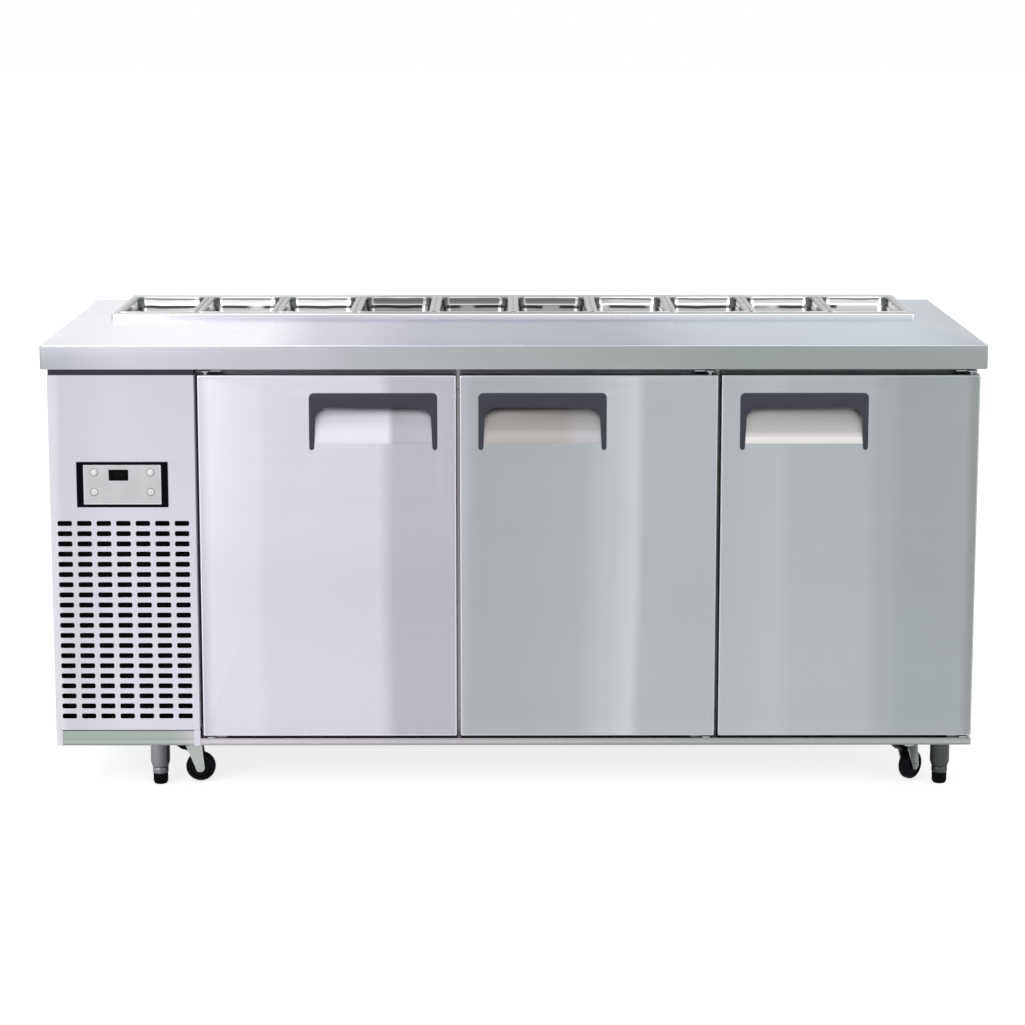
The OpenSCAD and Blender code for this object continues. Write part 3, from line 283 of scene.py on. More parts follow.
# Painted light and shade in each scoop: tones across it and bands up it.
scoop_steel = {
    1: steel("scoop_steel_door_1", PEARL, roughness=0.42,
             tones=(*DOOR_X[1], [(0.0, SCOOP_LILAC), (0.725, SCOOP_LILAC), (0.76, (0.44, 0.42, 0.47)),
                                 (1.0, (0.48, 0.46, 0.52))])),
    2: steel("scoop_steel_door_2", PEARL, roughness=0.42,
             tones=(*DOOR_X[2], [(0.0, (0.50, 0.475, 0.465)), (0.38, (0.50, 0.47, 0.455)),
                                 (0.46, (0.54, 0.53, 0.55)), (1.0, (0.54, 0.53, 0.55))]),
             bands=(*SCOOP_Z, [(0.0, 0.88), (0.18, 0.90), (0.34, 0.74), (0.60, 0.74), (0.85, 0.62),
                               (1.0, 0.56)])),
    3: steel("scoop_steel_door_3", PEARL, roughness=0.42,
             tones=(*DOOR_X[3], [(0.0, (0.86, 0.84, 0.83)), (0.54, (0.85, 0.83, 0.82)),
                                 (0.60, (0.80, 0.78, 0.86)), (1.0, (0.80, 0.78, 0.86))]),
             bands=(*SCOOP_Z, [(0.0, 0.86), (0.10, 0.88), (0.17, 0.70), (0.28, 0.55), (1.0, 0.56)]))}
print("scoops rise from z", [round(z, 3) for z in SCOOP_Z])

# %% [markdown]
# The worktop lies flat, so it mirrors what stands behind the table, and those reflections
# are painted into its tones. Its folded front, the raised pan rail and that rail's flat top
# each face another way and get a finish each, each with its own painted light and
# reflections. The base rail and the legs are low down, where the floor lights them from
# below; their tones are painted light, with painted shade on the right-hand leg.

# %% Worktop, rails and legs
TOP_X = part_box("worktop")[0].x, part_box("worktop")[1].x
FOOT_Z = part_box("door_frame")[0].z
FOOT_RAIL_RISE = 0.034
# Painted reflections: the worktop's tones run from bright at the left to dark in the middle.
worktop_steel_painted_reflections = steel("brushed_steel_worktop_painted_reflections", MIST, roughness=0.26, turn=0.0, axis="X", tones=(*TOP_X, [
    (0.0, (0.80, 0.80, 0.86)), (0.14, (0.90, 0.89, 0.93)), (0.22, (0.87, 0.86, 0.92)),
    (0.30, (0.57, 0.56, 0.65)), (0.42, (0.38, 0.39, 0.47)), (0.60, (0.32, 0.34, 0.41)),
    (0.73, (0.48, 0.52, 0.57)), (0.92, (0.49, 0.55, 0.59)), (1.0, (0.42, 0.46, 0.50))]))
# Painted light across the folded front.
fascia_steel_painted_light = steel("brushed_steel_fascia_painted_light", MIST, roughness=0.34, tones=(*TOP_X, [
    (0.0, (0.42, 0.43, 0.48)), (0.10, (0.57, 0.56, 0.62)), (0.27, (0.54, 0.53, 0.59)),
    (0.36, (0.46, 0.48, 0.50)), (0.62, (0.40, 0.42, 0.42)), (0.75, (0.335, 0.37, 0.36)),
    (1.0, (0.345, 0.37, 0.37))]))
# Painted light across the pan rail.
top_rail_steel_painted_light = steel("brushed_steel_pan_rail_painted_light", MIST, roughness=0.24, tones=(*TOP_X, [
    (0.0, (0.62, 0.62, 0.67)), (0.26, (0.63, 0.62, 0.68)), (0.40, (0.74, 0.72, 0.81)),
    (0.60, (0.78, 0.77, 0.84)), (0.74, (0.74, 0.77, 0.80)), (1.0, (0.74, 0.77, 0.80))]))
# Painted reflection of the pans on the rail's flat top.
flange_steel_painted_reflection = steel("brushed_steel_pan_flange_painted_reflection", MIST, roughness=0.24, tones=(*TOP_X, [
    (0.0, (0.50, 0.50, 0.53)), (0.10, (0.66, 0.66, 0.69)), (0.27, (0.62, 0.61, 0.66)),
    (0.38, (0.36, 0.35, 0.40)), (0.60, (0.33, 0.33, 0.36)), (0.74, (0.38, 0.40, 0.42)),
    (1.0, (0.38, 0.40, 0.43))]))
# Painted light and shade: tones across the base rail, and lighter and darker bands up it, dark at the door
# gap.
base_rail_steel_painted_light = steel("brushed_steel_base_rail_painted_light", SAGE,
                   tones=(*EDGE_X, [(0.0, (0.40, 0.46, 0.42)), (0.12, (0.42, 0.47, 0.44)),
                                    (0.16, (0.62, 0.59, 0.63)), (0.45, (0.50, 0.48, 0.50)),
                                    (0.75, (0.40, 0.42, 0.40)), (1.0, (0.40, 0.43, 0.41))]),
                   bands=(FOOT_Z, FOOT_Z + FOOT_RAIL_RISE, [
                       (0.0, 0.55), (0.08, 0.72), (0.14, 1.0), (0.27, 1.0), (0.36, 0.80), (0.45, 0.92),
                       (0.80, 0.92), (0.88, 0.70), (1.0, 0.80)]))
# Painted light and shade: the left leg and foot ring lighter, the right ones near black.
leg_steel_painted_light_and_shade = steel("leg_steel_painted_light_and_shade", DUSK, tones=(*EDGE_X, [
    (0.0, (0.42, 0.42, 0.45)), (0.100, (0.34, 0.34, 0.36)), (0.117, (0.07, 0.07, 0.08)),
    (0.5, (0.10, 0.10, 0.10)), (0.962, (0.050, 0.055, 0.055)), (0.972, (0.085, 0.09, 0.09)),
    (1.0, (0.06, 0.06, 0.06))]))
print("steel finishes:", len([m for m in bpy.data.materials if "steel" in m.name]))

# %% [markdown]
# The pans are drawn from thin polished sheet. Polishing leaves it almost mirror bright,
# and drawing leaves it slightly wavy, which is what breaks a reflection into streaks.
# A deep pan is a box of mirrors, so below its rim it shows bands: its own dark gap, the
# bright room, then its floor. These reflections are painted into the walls' colour: a light
# set of painted bands and a dark one, mixed by where a pan stands in the row, and broken
# painted dashes along one of them.

# %% Polished pans
def polished(name, color, roughness, wave, dulled=0.05):
    finish, tree, shader = start_finish(name, color, metallic=1.0, roughness=roughness)
    waves = grain(tree, (9, 9, 14), detail=1.0)
    fine = grain(tree, (160, 160, 160), detail=3.0)
    tree.links.new(spread(tree, fine, roughness - 0.03, roughness + dulled), shader.inputs["Roughness"])
    tree.links.new(mixed(tree, spread(tree, fine, 0.0, 1.0), tuple(c * 0.94 for c in color), color),
                   shader.inputs["Base Color"])
    bumped(tree, shader, waves, 0.6, wave)
    return finish


def pan_finish_with_painted_reflections(name, rim_z, depth=0.040, row_half=0.82):
    """Polished walls with painted reflection bands down to depth below the rim; the row of pans reaches
    row_half to each side.
    """
    finish = polished(name, (0.8, 0.8, 0.8), 0.14, 0.003, dulled=0.04)
    tree = finish.node_tree
    height = wavered(tree, along(tree, "Z"), grain(tree, (14, 9, 5), detail=1.0), 0.0012)
    place = wavered(tree, along(tree, "X"), grain(tree, (3, 3, 9), detail=1.0), 0.012)

    def below_rim(*stops):
        return tones_over(tree, height, rim_z, rim_z - depth, stops)

    # Painted reflections: light and dark bands below the rim, mixed across the row, with broken dashes.
    light = below_rim((0.0, 0.70), (0.06, 0.66), (0.11, 0.26), (0.16, 0.30), (0.21, 0.90), (0.44, 0.92),
                      (0.62, 0.66), (1.0, 0.55))
    dark = below_rim((0.0, 0.42), (0.05, 0.38), (0.10, 0.19), (0.22, 0.14), (0.40, 0.20), (0.60, 0.34),
                     (1.0, 0.34))
    reflection_dashes = below_rim((0.0, 1.0), (0.45, 1.0), (0.49, 0.10), (0.60, 0.10), (0.66, 0.9), (1.0, 1.0))
    darkness = tones_over(tree, place, -row_half, row_half, [
        (0.0, 0.0), (0.29, 0.05), (0.32, 1.0), (0.59, 0.95), (0.64, 0.35), (1.0, 0.20)])
    broken_reflection_share = spread(tree, grain(tree, (13, 13, 2), detail=1.0, seed=3.0), 0.0, 1.0, 0.43, 0.48)
    tone = product(tree, mixed(tree, darkness, light, dark), mixed(tree, broken_reflection_share, (1, 1, 1), reflection_dashes))
    tree.links.new(tone, tree.nodes["Principled BSDF"].inputs["Base Color"])
    return finish


pan_steel_painted_reflections = pan_finish_with_painted_reflections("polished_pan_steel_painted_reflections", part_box("pan_1")[1].z)
# Painted dark reflections: the bars between pans, the pans' side walls and their rims.
bar_steel_painted_dark_reflection = polished("polished_bar_steel_painted_dark_reflection", (0.14, 0.14, 0.15), 0.22, 0.001)
pan_side_steel_painted_dark_reflection = polished("polished_pan_sides_painted_dark_reflection", (0.13, 0.14, 0.14), 0.20, 0.003)
pan_rim_steel_painted_dark_reflection = polished("polished_pan_rims_painted_dark_reflection", (0.23, 0.23, 0.25), 0.18, 0.002)
zinc = polished("zinc_plate", (0.42, 0.43, 0.44), 0.38, 0.001)
copper = polished("copper_tube", (0.72, 0.38, 0.24), 0.30, 0.001)
print("polished finishes:", pan_steel_painted_reflections.name, bar_steel_painted_dark_reflection.name, zinc.name, copper.name)

# %% [markdown]
# Moulded plastic and rubber are not metals: their own colour shows, under a soft sheen.
# A very fine noise gives the spark-eroded texture of the mould, and a larger one a faint
# unevenness, so that no part is one flat tone.

# %% Plastics, rubber, paint and foam
def moulded(name, color, roughness, texture=900, depth=0.0002, mottle=0.9, sheen=0.5):
    finish, tree, shader = start_finish(name, color, roughness=roughness, Specular_IOR_Level=sheen)
    fine = grain(tree, (texture,) * 3, detail=2.0)
    cloud = grain(tree, (25, 25, 25), detail=3.0, seed=1.0)
    tree.links.new(spread(tree, cloud, roughness - 0.05, roughness + 0.05), shader.inputs["Roughness"])
    tree.links.new(mixed(tree, spread(tree, cloud, 0.0, 1.0), tuple(c * mottle for c in color), color),
                   shader.inputs["Base Color"])
    bumped(tree, shader, fine, 0.25, depth)
    return finish


slate_plastic = moulded("slate_plastic", (0.048, 0.049, 0.068), 0.46, sheen=0.25)
black_plastic = moulded("black_plastic", (0.0025, 0.002, 0.005), 0.45, sheen=0.03)
# Near black, for a black coating that also stands in as painted shade inside the machine compartment.
black_fin_and_painted_shade = moulded("black_coated_fins_and_painted_shade", (0.008, 0.008, 0.009), 0.60, sheen=0.05)
silver_film = moulded("silver_film", (0.63, 0.63, 0.65), 0.38, texture=1500)
# Pale film for the plate border, a painted highlight.
border_film_painted_highlight = moulded("bright_film_painted_highlight", (0.84, 0.84, 0.87), 0.34, texture=1500)
# Dark grey for the button collars, painted shade round the buttons.
collar_plastic_painted_shade = moulded("grey_collar_plastic_painted_shade", (0.30, 0.30, 0.32), 0.40, texture=1500)
button_plastic = moulded("silver_plastic", (0.82, 0.82, 0.83), 0.28, texture=1500)
wheel_rubber = moulded("wheel_rubber", (0.004, 0.0035, 0.006), 0.50, sheen=0.08)
foot_rubber = moulded("foot_rubber", (0.003, 0.003, 0.0035), 0.60, sheen=0.05)
# Pale grey tape, which also serves as painted light in the gap beside the first door.
edge_tape_painted_light = moulded("grey_foam_tape_painted_light", (0.60, 0.57, 0.60), 0.90, texture=300, depth=0.0004)
seal_rubber = moulded("seal_rubber", (0.42, 0.42, 0.43), 0.60)
compressor_paint = moulded("compressor_paint", (0.014, 0.014, 0.015), 0.34, texture=300, depth=0.0004)
foam = moulded("insulation_foam", (0.75, 0.66, 0.40), 0.90, texture=350, depth=0.0010, mottle=0.85)
display_glass, tree, shader = start_finish("display_glass", (0.001,) * 3, roughness=0.10,
                                           Specular_IOR_Level=0.06)
tree.links.new(spread(tree, grain(tree, (400, 400, 400)), 0.08, 0.14), shader.inputs["Roughness"])
digit_glow, tree, shader = start_finish("dim_segments", (0.02,) * 3, roughness=0.4, Specular_IOR_Level=0.1)
digit_shade = mixed(tree, grain(tree, (300, 300, 300)), (0.014, 0.012, 0.011), (0.022, 0.018, 0.016))
tree.links.new(digit_shade, shader.inputs["Base Color"])
print("finishes:", len(bpy.data.materials))

# %% [markdown]
# A small studio: a pale floor, an even white surround that the steel can mirror, a large
# soft lamp at the upper left, a weaker one at the right and a wide one overhead. The
# surround is white for the camera and for reflections, and dimmer as light, so that the
# lamps still model the shapes. The floor glows a little for the camera, which makes it
# pale without washing out the table's shadow.

# %% Floor, surround and lamps
world = bpy.data.worlds.new("studio")
scene.world = world
world.use_nodes = True
surround = world.node_tree
back = surround.nodes["Background"]
path = surround.nodes.new("ShaderNodeLightPath")


def larger(tree, a, b):
    return add(tree, "ShaderNodeMath", {0: a, 1: b}, operation="MAXIMUM").outputs[0]


camera_or_mirror = larger(surround, path.outputs["Is Camera Ray"], path.outputs["Is Glossy Ray"])
seen_directly = larger(surround, camera_or_mirror, path.outputs["Is Transmission Ray"])
surround.links.new(spread(surround, seen_directly, 0.55, 1.0, 0.0, 1.0), back.inputs["Strength"])
back.inputs["Color"].default_value = (1, 1, 1, 1)

floor_finish, tree, shader = start_finish("pale_floor", (0.60,) * 3, roughness=0.8, Specular_IOR_Level=0.2)
path = tree.nodes.new("ShaderNodeLightPath")
floor_tone = mixed(tree, grain(tree, (1.5, 1.5, 1.5)), (0.58,) * 3, (0.62,) * 3)
tree.links.new(floor_tone, shader.inputs["Base Color"])
shader.inputs["Emission Color"].default_value = (1, 1, 1, 1)
floor_glow = larger(tree, spread(tree, path.outputs["Is Camera Ray"], 0.0, 0.72, 0.0, 1.0),
                    spread(tree, path.outputs["Is Glossy Ray"], 0.0, 0.36, 0.0, 1.0))
tree.links.new(floor_glow, shader.inputs["Emission Strength"])
floor_mesh = bpy.data.meshes.new("studio_floor")
floor_bm = bmesh.new()
bmesh.ops.create_grid(floor_bm, x_segments=8, y_segments=8, size=40)
floor_bm.to_mesh(floor_mesh)
floor_bm.free()
floor = bpy.data.objects.new("studio_floor", floor_mesh)
floor.location.z = -0.0005
floor_mesh.materials.append(floor_finish)
scene.collection.objects.link(floor)


def softbox(name, place, target, size, power):
    lamp = bpy.data.lights.new(name, "AREA")
    lamp.shape = "RECTANGLE"
    lamp.size, lamp.size_y = size
    lamp.energy = power
    holder = bpy.data.objects.new(name, lamp)
    holder.location = place
    holder.rotation_euler = (Vector(target) - Vector(place)).to_track_quat("-Z", "Y").to_euler()
    scene.collection.objects.link(holder)


softbox("softbox_left", (-3.2, -3.6, 2.8), (-0.2, 0, 0.6), (3.0, 3.0), 85)
softbox("softbox_right", (3.6, -3.0, 2.2), (0.3, 0, 0.5), (2.4, 2.4), 25)
softbox("softbox_above", (0.0, -0.6, 3.6), (0, 0, 0.8), (3.6, 2.4), 60)

# %% [markdown]
# Most parts of the cabinet are folded, pressed or moulded, and none has a truly sharp
# edge. `settle` gives a piece its finish and its body, and says which node it stands in
# for. `refined` copies a node's mesh, joins its corners and rounds its edges a little.

# %% Helpers for pieces
def coated(piece, finish):
    piece.data.materials.clear()
    piece.data.materials.append(finish)


def settle(piece, finish, body, replaced=(), angle=35):
    coated(piece, finish)
    piece.data.shade_smooth()
    piece.data.set_sharp_from_angle(angle=math.radians(angle))
    scene.collection.objects.link(piece)
    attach(piece, body)
    if replaced:
        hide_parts(replaced)
    return piece


def refined(node, finish, width=0.0006, segments=2):
    mesh = NODES[node].data.copy()
    bm = bmesh.new()
    bm.from_mesh(mesh)
    bmesh.ops.remove_doubles(bm, verts=bm.verts, dist=1e-6)
    bmesh.ops.dissolve_limit(bm, angle_limit=math.radians(0.5), verts=bm.verts, edges=bm.edges)
    bm.to_mesh(mesh)
    bm.free()
    piece = settle(bpy.data.objects.new(node + "_made", mesh), finish, BODY_OF[node], node)
    if width:
        bevel = piece.modifiers.new("rounded_edges", "BEVEL")
        bevel.width, bevel.segments = width, segments
        bevel.limit_method, bevel.angle_limit = "ANGLE", math.radians(32)
        bevel.harden_normals = True


def faces_marked(piece, finishes, choose, *limits):
    """Adds finishes; choose(face, *limits) gives the number of a face's finish, from 0."""
    for finish in finishes:
        piece.data.materials.append(finish)
    for face in piece.data.polygons:
        face.material_index = choose(face, *limits)


def size_mm(name):
    return [round(v * 1000, 1) for v in bpy.data.objects[name].dimensions]


print("a piece takes the body of its node, such as", BODY_OF["door_1_skin"])

# %% [markdown]
# `skin` builds a mesh from a row of loops, as a fitter builds a shape from sections:
# `round_loop` draws a rectangle with rounded corners, `fillet` draws an arc of a section,
# and `turned` carries a section round an axis.

# %% Helpers for new meshes
def from_bm(name, bm):
    bmesh.ops.recalc_face_normals(bm, faces=bm.faces)
    mesh = bpy.data.meshes.new(name)
    bm.to_mesh(mesh)
    bm.free()
    return bpy.data.objects.new(name, mesh)


def round_loop(x0, x1, y0, y1, r, steps=5):
    """Points round a rectangle with rounded corners, anticlockwise from the right-hand side."""
    points = []
    corners = ((x1 - r, y0 + r, -90), (x1 - r, y1 - r, 0), (x0 + r, y1 - r, 90), (x0 + r, y0 + r, 180))
    for cx, cy, a in corners:
        points += fillet((cx, cy), r, a, a + 90, steps)
    return points


def fillet(center, r, a0, a1, steps=4):
    """Points on an arc from angle a0 to a1, as (first, second) pairs."""
    angles = [math.radians(a0 + (a1 - a0) * k / steps) for k in range(steps + 1)]
    return [(center[0] + r * math.cos(a), center[1] + r * math.sin(a)) for a in angles]


def bridge(bm, a, b):
    """Faces between two loops that have as many corners."""
    for k in range(len(a)):
        n = (k + 1) % len(a)
        bm.faces.new((a[k], a[n], b[n], b[k]))


def skin(bm, loops, ring=False, first=False, last=False):
    """Faces from each loop to the next; ring joins the last to the first, and the ends can be closed."""
    rows = [[bm.verts.new(p) for p in loop] for loop in loops]
    for a, b in list(zip(rows, rows[1:])) + ([(rows[-1], rows[0])] if ring else []):
        bridge(bm, a, b)
    if first:
        bm.faces.new(rows[0])
    if last:
        bm.faces.new(rows[-1])
    return rows


def turned(name, section, steps=48):
    """A turned piece about Z from a section of (radius, height) pairs."""
    bm = bmesh.new()
    turns = [2 * math.pi * k / steps for k in range(steps)]
    rings = [[(r * math.cos(t), r * math.sin(t), z) for t in turns] for r, z in section]
    skin(bm, rings, first=True, last=True)
    return from_bm(name, bm)


print("a rounded rectangle has", len(round_loop(0, 1, 0, 1, 0.1)), "points")

# %% [markdown]
# The worktop is one sheet, folded down 46 mm at its edges and turned in below. A section
# of the fold, carried round the outline as a row of loops, gives both soft bends and the
# lip; the loop of the pan opening closes it on the inside. Its upright faces take the
# fascia's finish.

# %% Worktop
RAIL_SIDE, RAIL_FRONT = 0.0155, 0.0355


def worktop_sheet():
    lo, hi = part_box("worktop")
    rail_lo, rail_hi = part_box("pan_rail")
    thick, bend, lip, corner = 0.0012, 0.0020, 0.016, 0.004
    cut_x, cut_y = RAIL_SIDE - 0.0020, RAIL_FRONT - 0.0022
    outside = [(lip, lo.z)] + fillet((bend, lo.z + bend), bend, -90, -180)
    outside += fillet((bend, hi.z - bend), bend, 180, 90)
    inside = [(0.0070, hi.z - thick), (thick, hi.z - bend), (thick, lo.z + bend), (lip, lo.z + thick)]

    def at(inset, z):
        r = max(corner - inset, 0.0008)
        return [(x, y, z) for x, y in round_loop(lo.x + inset, hi.x - inset, lo.y + inset, hi.y - inset, r)]

    hole = round_loop(rail_lo.x + cut_x, rail_hi.x - cut_x, rail_lo.y + cut_y, rail_hi.y - cut_y, corner)
    loops = [at(d, z) for d, z in outside]
    loops += [[(x, y, hi.z) for x, y in hole], [(x, y, hi.z - thick) for x, y in hole]]
    loops += [at(d, z) for d, z in inside]
    bm = bmesh.new()
    skin(bm, loops, ring=True)
    return from_bm("worktop_sheet", bm)


top = settle(worktop_sheet(), worktop_steel_painted_reflections, "cabinet", "worktop", angle=50)
faces_marked(top, [fascia_steel_painted_light], lambda face: int(abs(face.normal.z) < 0.7))
print("worktop:", len(top.data.polygons), "faces,", size_mm("worktop_sheet"), "mm")

# %% [markdown]
# The pan rail is a shallow raised frame. It is folded up from the worktop, in over the
# flange that carries the pans, and down again as a skirt. Nine bars cross the opening
# between the pans, with dark reflections painted into their finish. The flat top of the
# flange mirrors the pans, and that darker reflection is painted into its finish.

# %% Pan rail and its bars
def pan_rail_frame():
    lo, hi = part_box("pan_rail")
    worktop_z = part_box("worktop")[1].z
    bend, sheet = 0.0022, 0.0015
    bm = bmesh.new()

    def outer(inset, z):
        return [(x, y, z) for x, y in round_loop(lo.x + inset, hi.x - inset, lo.y + inset, hi.y - inset,
                                                 max(0.006 - inset, 0.001))]

    def inner(grow, z):
        return [(x, y, z) for x, y in round_loop(lo.x + RAIL_SIDE - grow, hi.x - RAIL_SIDE + grow,
                                                 lo.y + RAIL_FRONT - grow, hi.y - RAIL_FRONT + grow, 0.010)]

    loops = [outer(0, worktop_z)] + [outer(d, z) for d, z in fillet((bend, hi.z - bend), bend, 180, 90)]
    loops += [inner(sheet, hi.z), inner(0.0004, hi.z - 0.0004), inner(0, hi.z - 0.0016), inner(0, lo.z),
              inner(sheet, lo.z), inner(sheet, hi.z - sheet), outer(sheet, hi.z - 0.0040),
              outer(sheet, worktop_z)]
    skin(bm, loops, ring=True)
    return from_bm("pan_rail_frame", bm)


def cross_bars():
    lo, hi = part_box("pan_rail")
    half, r, depth = 0.007, 0.003, 0.015
    reach = RAIL_FRONT + 0.0002
    bm = bmesh.new()
    for k in range(1, PANS):
        x = (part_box(f"pan_{k}")[1].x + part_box(f"pan_{k + 1}")[0].x) / 2
        section = [(x - half, hi.z - depth)] + fillet((x - half + r, hi.z - r), r, 180, 90)
        section += fillet((x + half - r, hi.z - r), r, 90, 0) + [(x + half, hi.z - depth)]
        ends = (lo.y + reach, hi.y - reach)
        skin(bm, [[(u, y, w) for u, w in section] for y in ends], first=True, last=True)
    return from_bm("pan_rail_bars", bm)


PANS = 10
rail = settle(pan_rail_frame(), top_rail_steel_painted_light, "cabinet", "pan_rail", angle=50)
faces_marked(rail, [flange_steel_painted_reflection], lambda face: int(face.normal.z > 0.7))
settle(cross_bars(), bar_steel_painted_dark_reflection, "cabinet")
print("rail:", size_mm("pan_rail_frame"), "mm, with", PANS - 1, "bars")

# %% [markdown]
# A pan is deep-drawn, so nothing on it is sharp: a flat rim, a rolled shoulder, walls
# that lean in a little and a wide radius round the floor. The same loops, stacked from
# the rim's edge inwards and down, make all ten. The side walls and the rims along them
# mirror one another more than the room, and that darker reflection is painted into
# darker finishes.

# %% Pans
def drawn_pan(k):
    lo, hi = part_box(f"pan_{k}")
    edge, wall, shoulder, lean, floor_r, t = 0.012, 0.0100, 0.0050, 0.004, 0.014, 0.0009
    top, bottom = hi.z, lo.z

    def at(inset, z):
        r = max(edge + (0.012 if inset > wall else 0) - inset * 0.25, 0.003)
        rim = round_loop(lo.x + inset, hi.x - inset, lo.y + inset, hi.y - inset, r, 6)
        return [(x, y, z) for x, y in rim]

    upper = [(0.0, top - 0.0009), (0.0, top - 0.0003), (0.0004, top)]
    upper += fillet((wall - shoulder + 0.0006, top - shoulder), shoulder, 90, 0, 5)
    upper += [(wall + 0.0006, top - 0.0150), (wall + 0.0012, top - 0.0162), (wall + 0.0026, top - 0.0172),
              (wall + 0.0032, top - 0.0186)]
    lower = [(wall + lean, bottom + floor_r)]
    lower += [(wall + lean + floor_r - floor_r * math.cos(math.radians(a)),
               bottom + floor_r - floor_r * math.sin(math.radians(a))) for a in (22, 45, 68, 90)]
    inside = [(d + 0.0006, z) for d, z in upper[3:]] + [(d + t, z + t) for d, z in lower]
    outside = lower[::-1] + [(wall - 0.0002, top - shoulder - 0.002), (wall - 0.0006, top - 0.0010)]
    bm = bmesh.new()
    rows = skin(bm, [at(d, z) for d, z in upper[:3] + inside], last=True)
    under = skin(bm, [at(d, z) for d, z in outside], first=True)
    bridge(bm, under[-1], rows[0])
    return from_bm(f"pan_{k}_drawn", bm)


def wall_or_rim(face, lo, hi):
    c = face.center
    beside = min(c.x - lo.x, hi.x - c.x) < 0.022 and min(c.y - lo.y, hi.y - c.y) > 0.012
    return (2 if face.normal.z > 0.8 else 1) if beside else 0


for k in range(1, PANS + 1):
    pan = settle(drawn_pan(k), pan_steel_painted_reflections, f"pan_{k}_body", f"pan_{k}", angle=60)
    # Side walls and their rims take the painted dark reflections.
    faces_marked(pan, [pan_side_steel_painted_dark_reflection, pan_rim_steel_painted_dark_reflection], wall_or_rim, *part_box(f"pan_{k}"))
print("pans:", PANS, "of", size_mm("pan_1_drawn"), "mm")

# %% [markdown]
# A door skin is a shallow tray of thin sheet. Its face has folded edges with a small
# radius, and a scoop pressed in behind the handle: the floor of the scoop slopes forward
# to meet the face, so that fingers find the back of the handle. The face is made as
# loops from the rim of the tray to the rim of the scoop and on down into it. The liner
# and the seal behind it are refined from their nodes.

# %% Doors
DOOR_BEND = 0.0030


def door_sheet(k):
    lo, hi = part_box(f"door_{k}_skin")
    handle_lo, handle_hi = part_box(f"door_{k}_handle")
    sheet_t, deep, bend = 0.001, 0.030, DOOR_BEND
    face = lo.y
    left, right = handle_lo.x + 0.0050, handle_hi.x - 0.0050
    foot, top = handle_lo.z + SCOOP_FOOT, handle_hi.z - 0.0060

    def tray(inset, y):
        rim = round_loop(lo.x + inset, hi.x - inset, lo.z + inset, hi.z - inset, 0.0025, 4)
        return [(x, y, z) for x, z in rim]

    def scoop(shrink, depth):
        low = foot + SCOOP_RISE * depth / deep + shrink
        rim = round_loop(left + shrink, right - shrink, low, top - shrink, 0.007, 4)
        return [(x, face + depth, z) for x, z in rim]

    loops = [tray(sheet_t, hi.y), tray(0, hi.y)]
    loops += [tray(d, y) for d, y in fillet((bend, face + bend), bend, 180, 270, 3)]
    loops += [scoop(-0.0020, 0), scoop(-0.0008, 0.0003), scoop(0.0, 0.0012), scoop(0.0004, 0.006),
              scoop(0.0012, 0.024), scoop(0.0025, 0.0285), scoop(0.0050, deep)]
    bm = bmesh.new()
    skin(bm, loops, last=True)
    return from_bm(f"door_{k}_sheet", bm)


# Faces inside the scoop take its painted light and shade; the bends take the painted highlight.
def scoop_or_highlight_edge(face, lo, hi, front):
    c = face.center
    if c.y <= front + 0.0001:
        return 0
    in_scoop = lo.x < c.x < hi.x and lo.z < c.z < hi.z
    return 1 if in_scoop else (2 if c.y < front + DOOR_BEND + 0.0001 else 0)


for k in (1, 2, 3):
    sheet = settle(door_sheet(k), steel_with_painted_light_of_door[k], f"door_{k}", f"door_{k}_skin", angle=50)
    faces_marked(sheet, [scoop_steel[k], edge_steel], scoop_or_highlight_edge, *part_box(f"door_{k}_handle"),
                 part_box(f"door_{k}_skin")[0].y)
    refined(f"door_{k}_liner", liner_steel, 0.0012, 3)
    refined(f"door_{k}_seal", seal_rubber, 0.0022, 3)
    coated(NODES[f"door_{k}_core"], foam)
print("doors:", [size_mm(f"door_{k}_sheet") for k in (1, 2, 3)], "mm")

# %% [markdown]
# The handle is one moulding in slate plastic: a broad bar across the top of the scoop,
# with a rounded inner corner into each tapering leg. It is thin, so most of its form
# is in the outline and in the small round on its front edges. The last loops of the same
# outline, each a little smaller than the one before, make that round. A lip runs behind
# the bar, where the fingers pull.

# %% Door handles
def handle_outline(w, h, shrink):
    """Outline about the middle of the top edge, as (x, z), drawn in by shrink."""
    r_out, r_in, leg_top, bar, tip = 0.009, 0.024, 0.012, 0.028, 0.0048
    half = w / 2
    knee = -bar - r_in
    right = fillet((half - r_out, -r_out), r_out - shrink, 90, 0, 6)
    right += fillet((half - tip, -h + tip), tip - shrink, 0, -180, 9)
    right += fillet((half - leg_top - r_in, knee), r_in + shrink, 0, 90, 9)
    return right + [(-x, z) for x, z in reversed(right)]


def moulded_handle(k):
    lo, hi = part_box(f"door_{k}_handle")
    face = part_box(f"door_{k}_skin")[0].y
    mid, w, h = (lo.x + hi.x) / 2, hi.x - lo.x, hi.z - lo.z
    edge_r, lip_in = 0.0013, 0.036
    section = [(0.0006, face + 0.0040), (0.0, face + 0.0036), (0.0, face - 0.0012)]
    section += fillet((edge_r, lo.y + edge_r), edge_r, 180, 270, 3)[1:]
    bm = bmesh.new()
    skin(bm, [[(mid + x, y, hi.z + z) for x, z in handle_outline(w, h, d)] for d, y in section],
         first=True, last=True)
    lip = [(-0.0280, 0.0030), (-0.0280, 0.0092), (-0.0272, 0.0100), (-0.0258, 0.0100), (-0.0250, 0.0092),
           (-0.0250, 0.0030)]
    ends = (lo.x + lip_in, hi.x - lip_in)
    skin(bm, [[(x, face + y, hi.z + z) for z, y in lip] for x in ends], first=True, last=True)
    return from_bm(f"door_{k}_grip", bm)


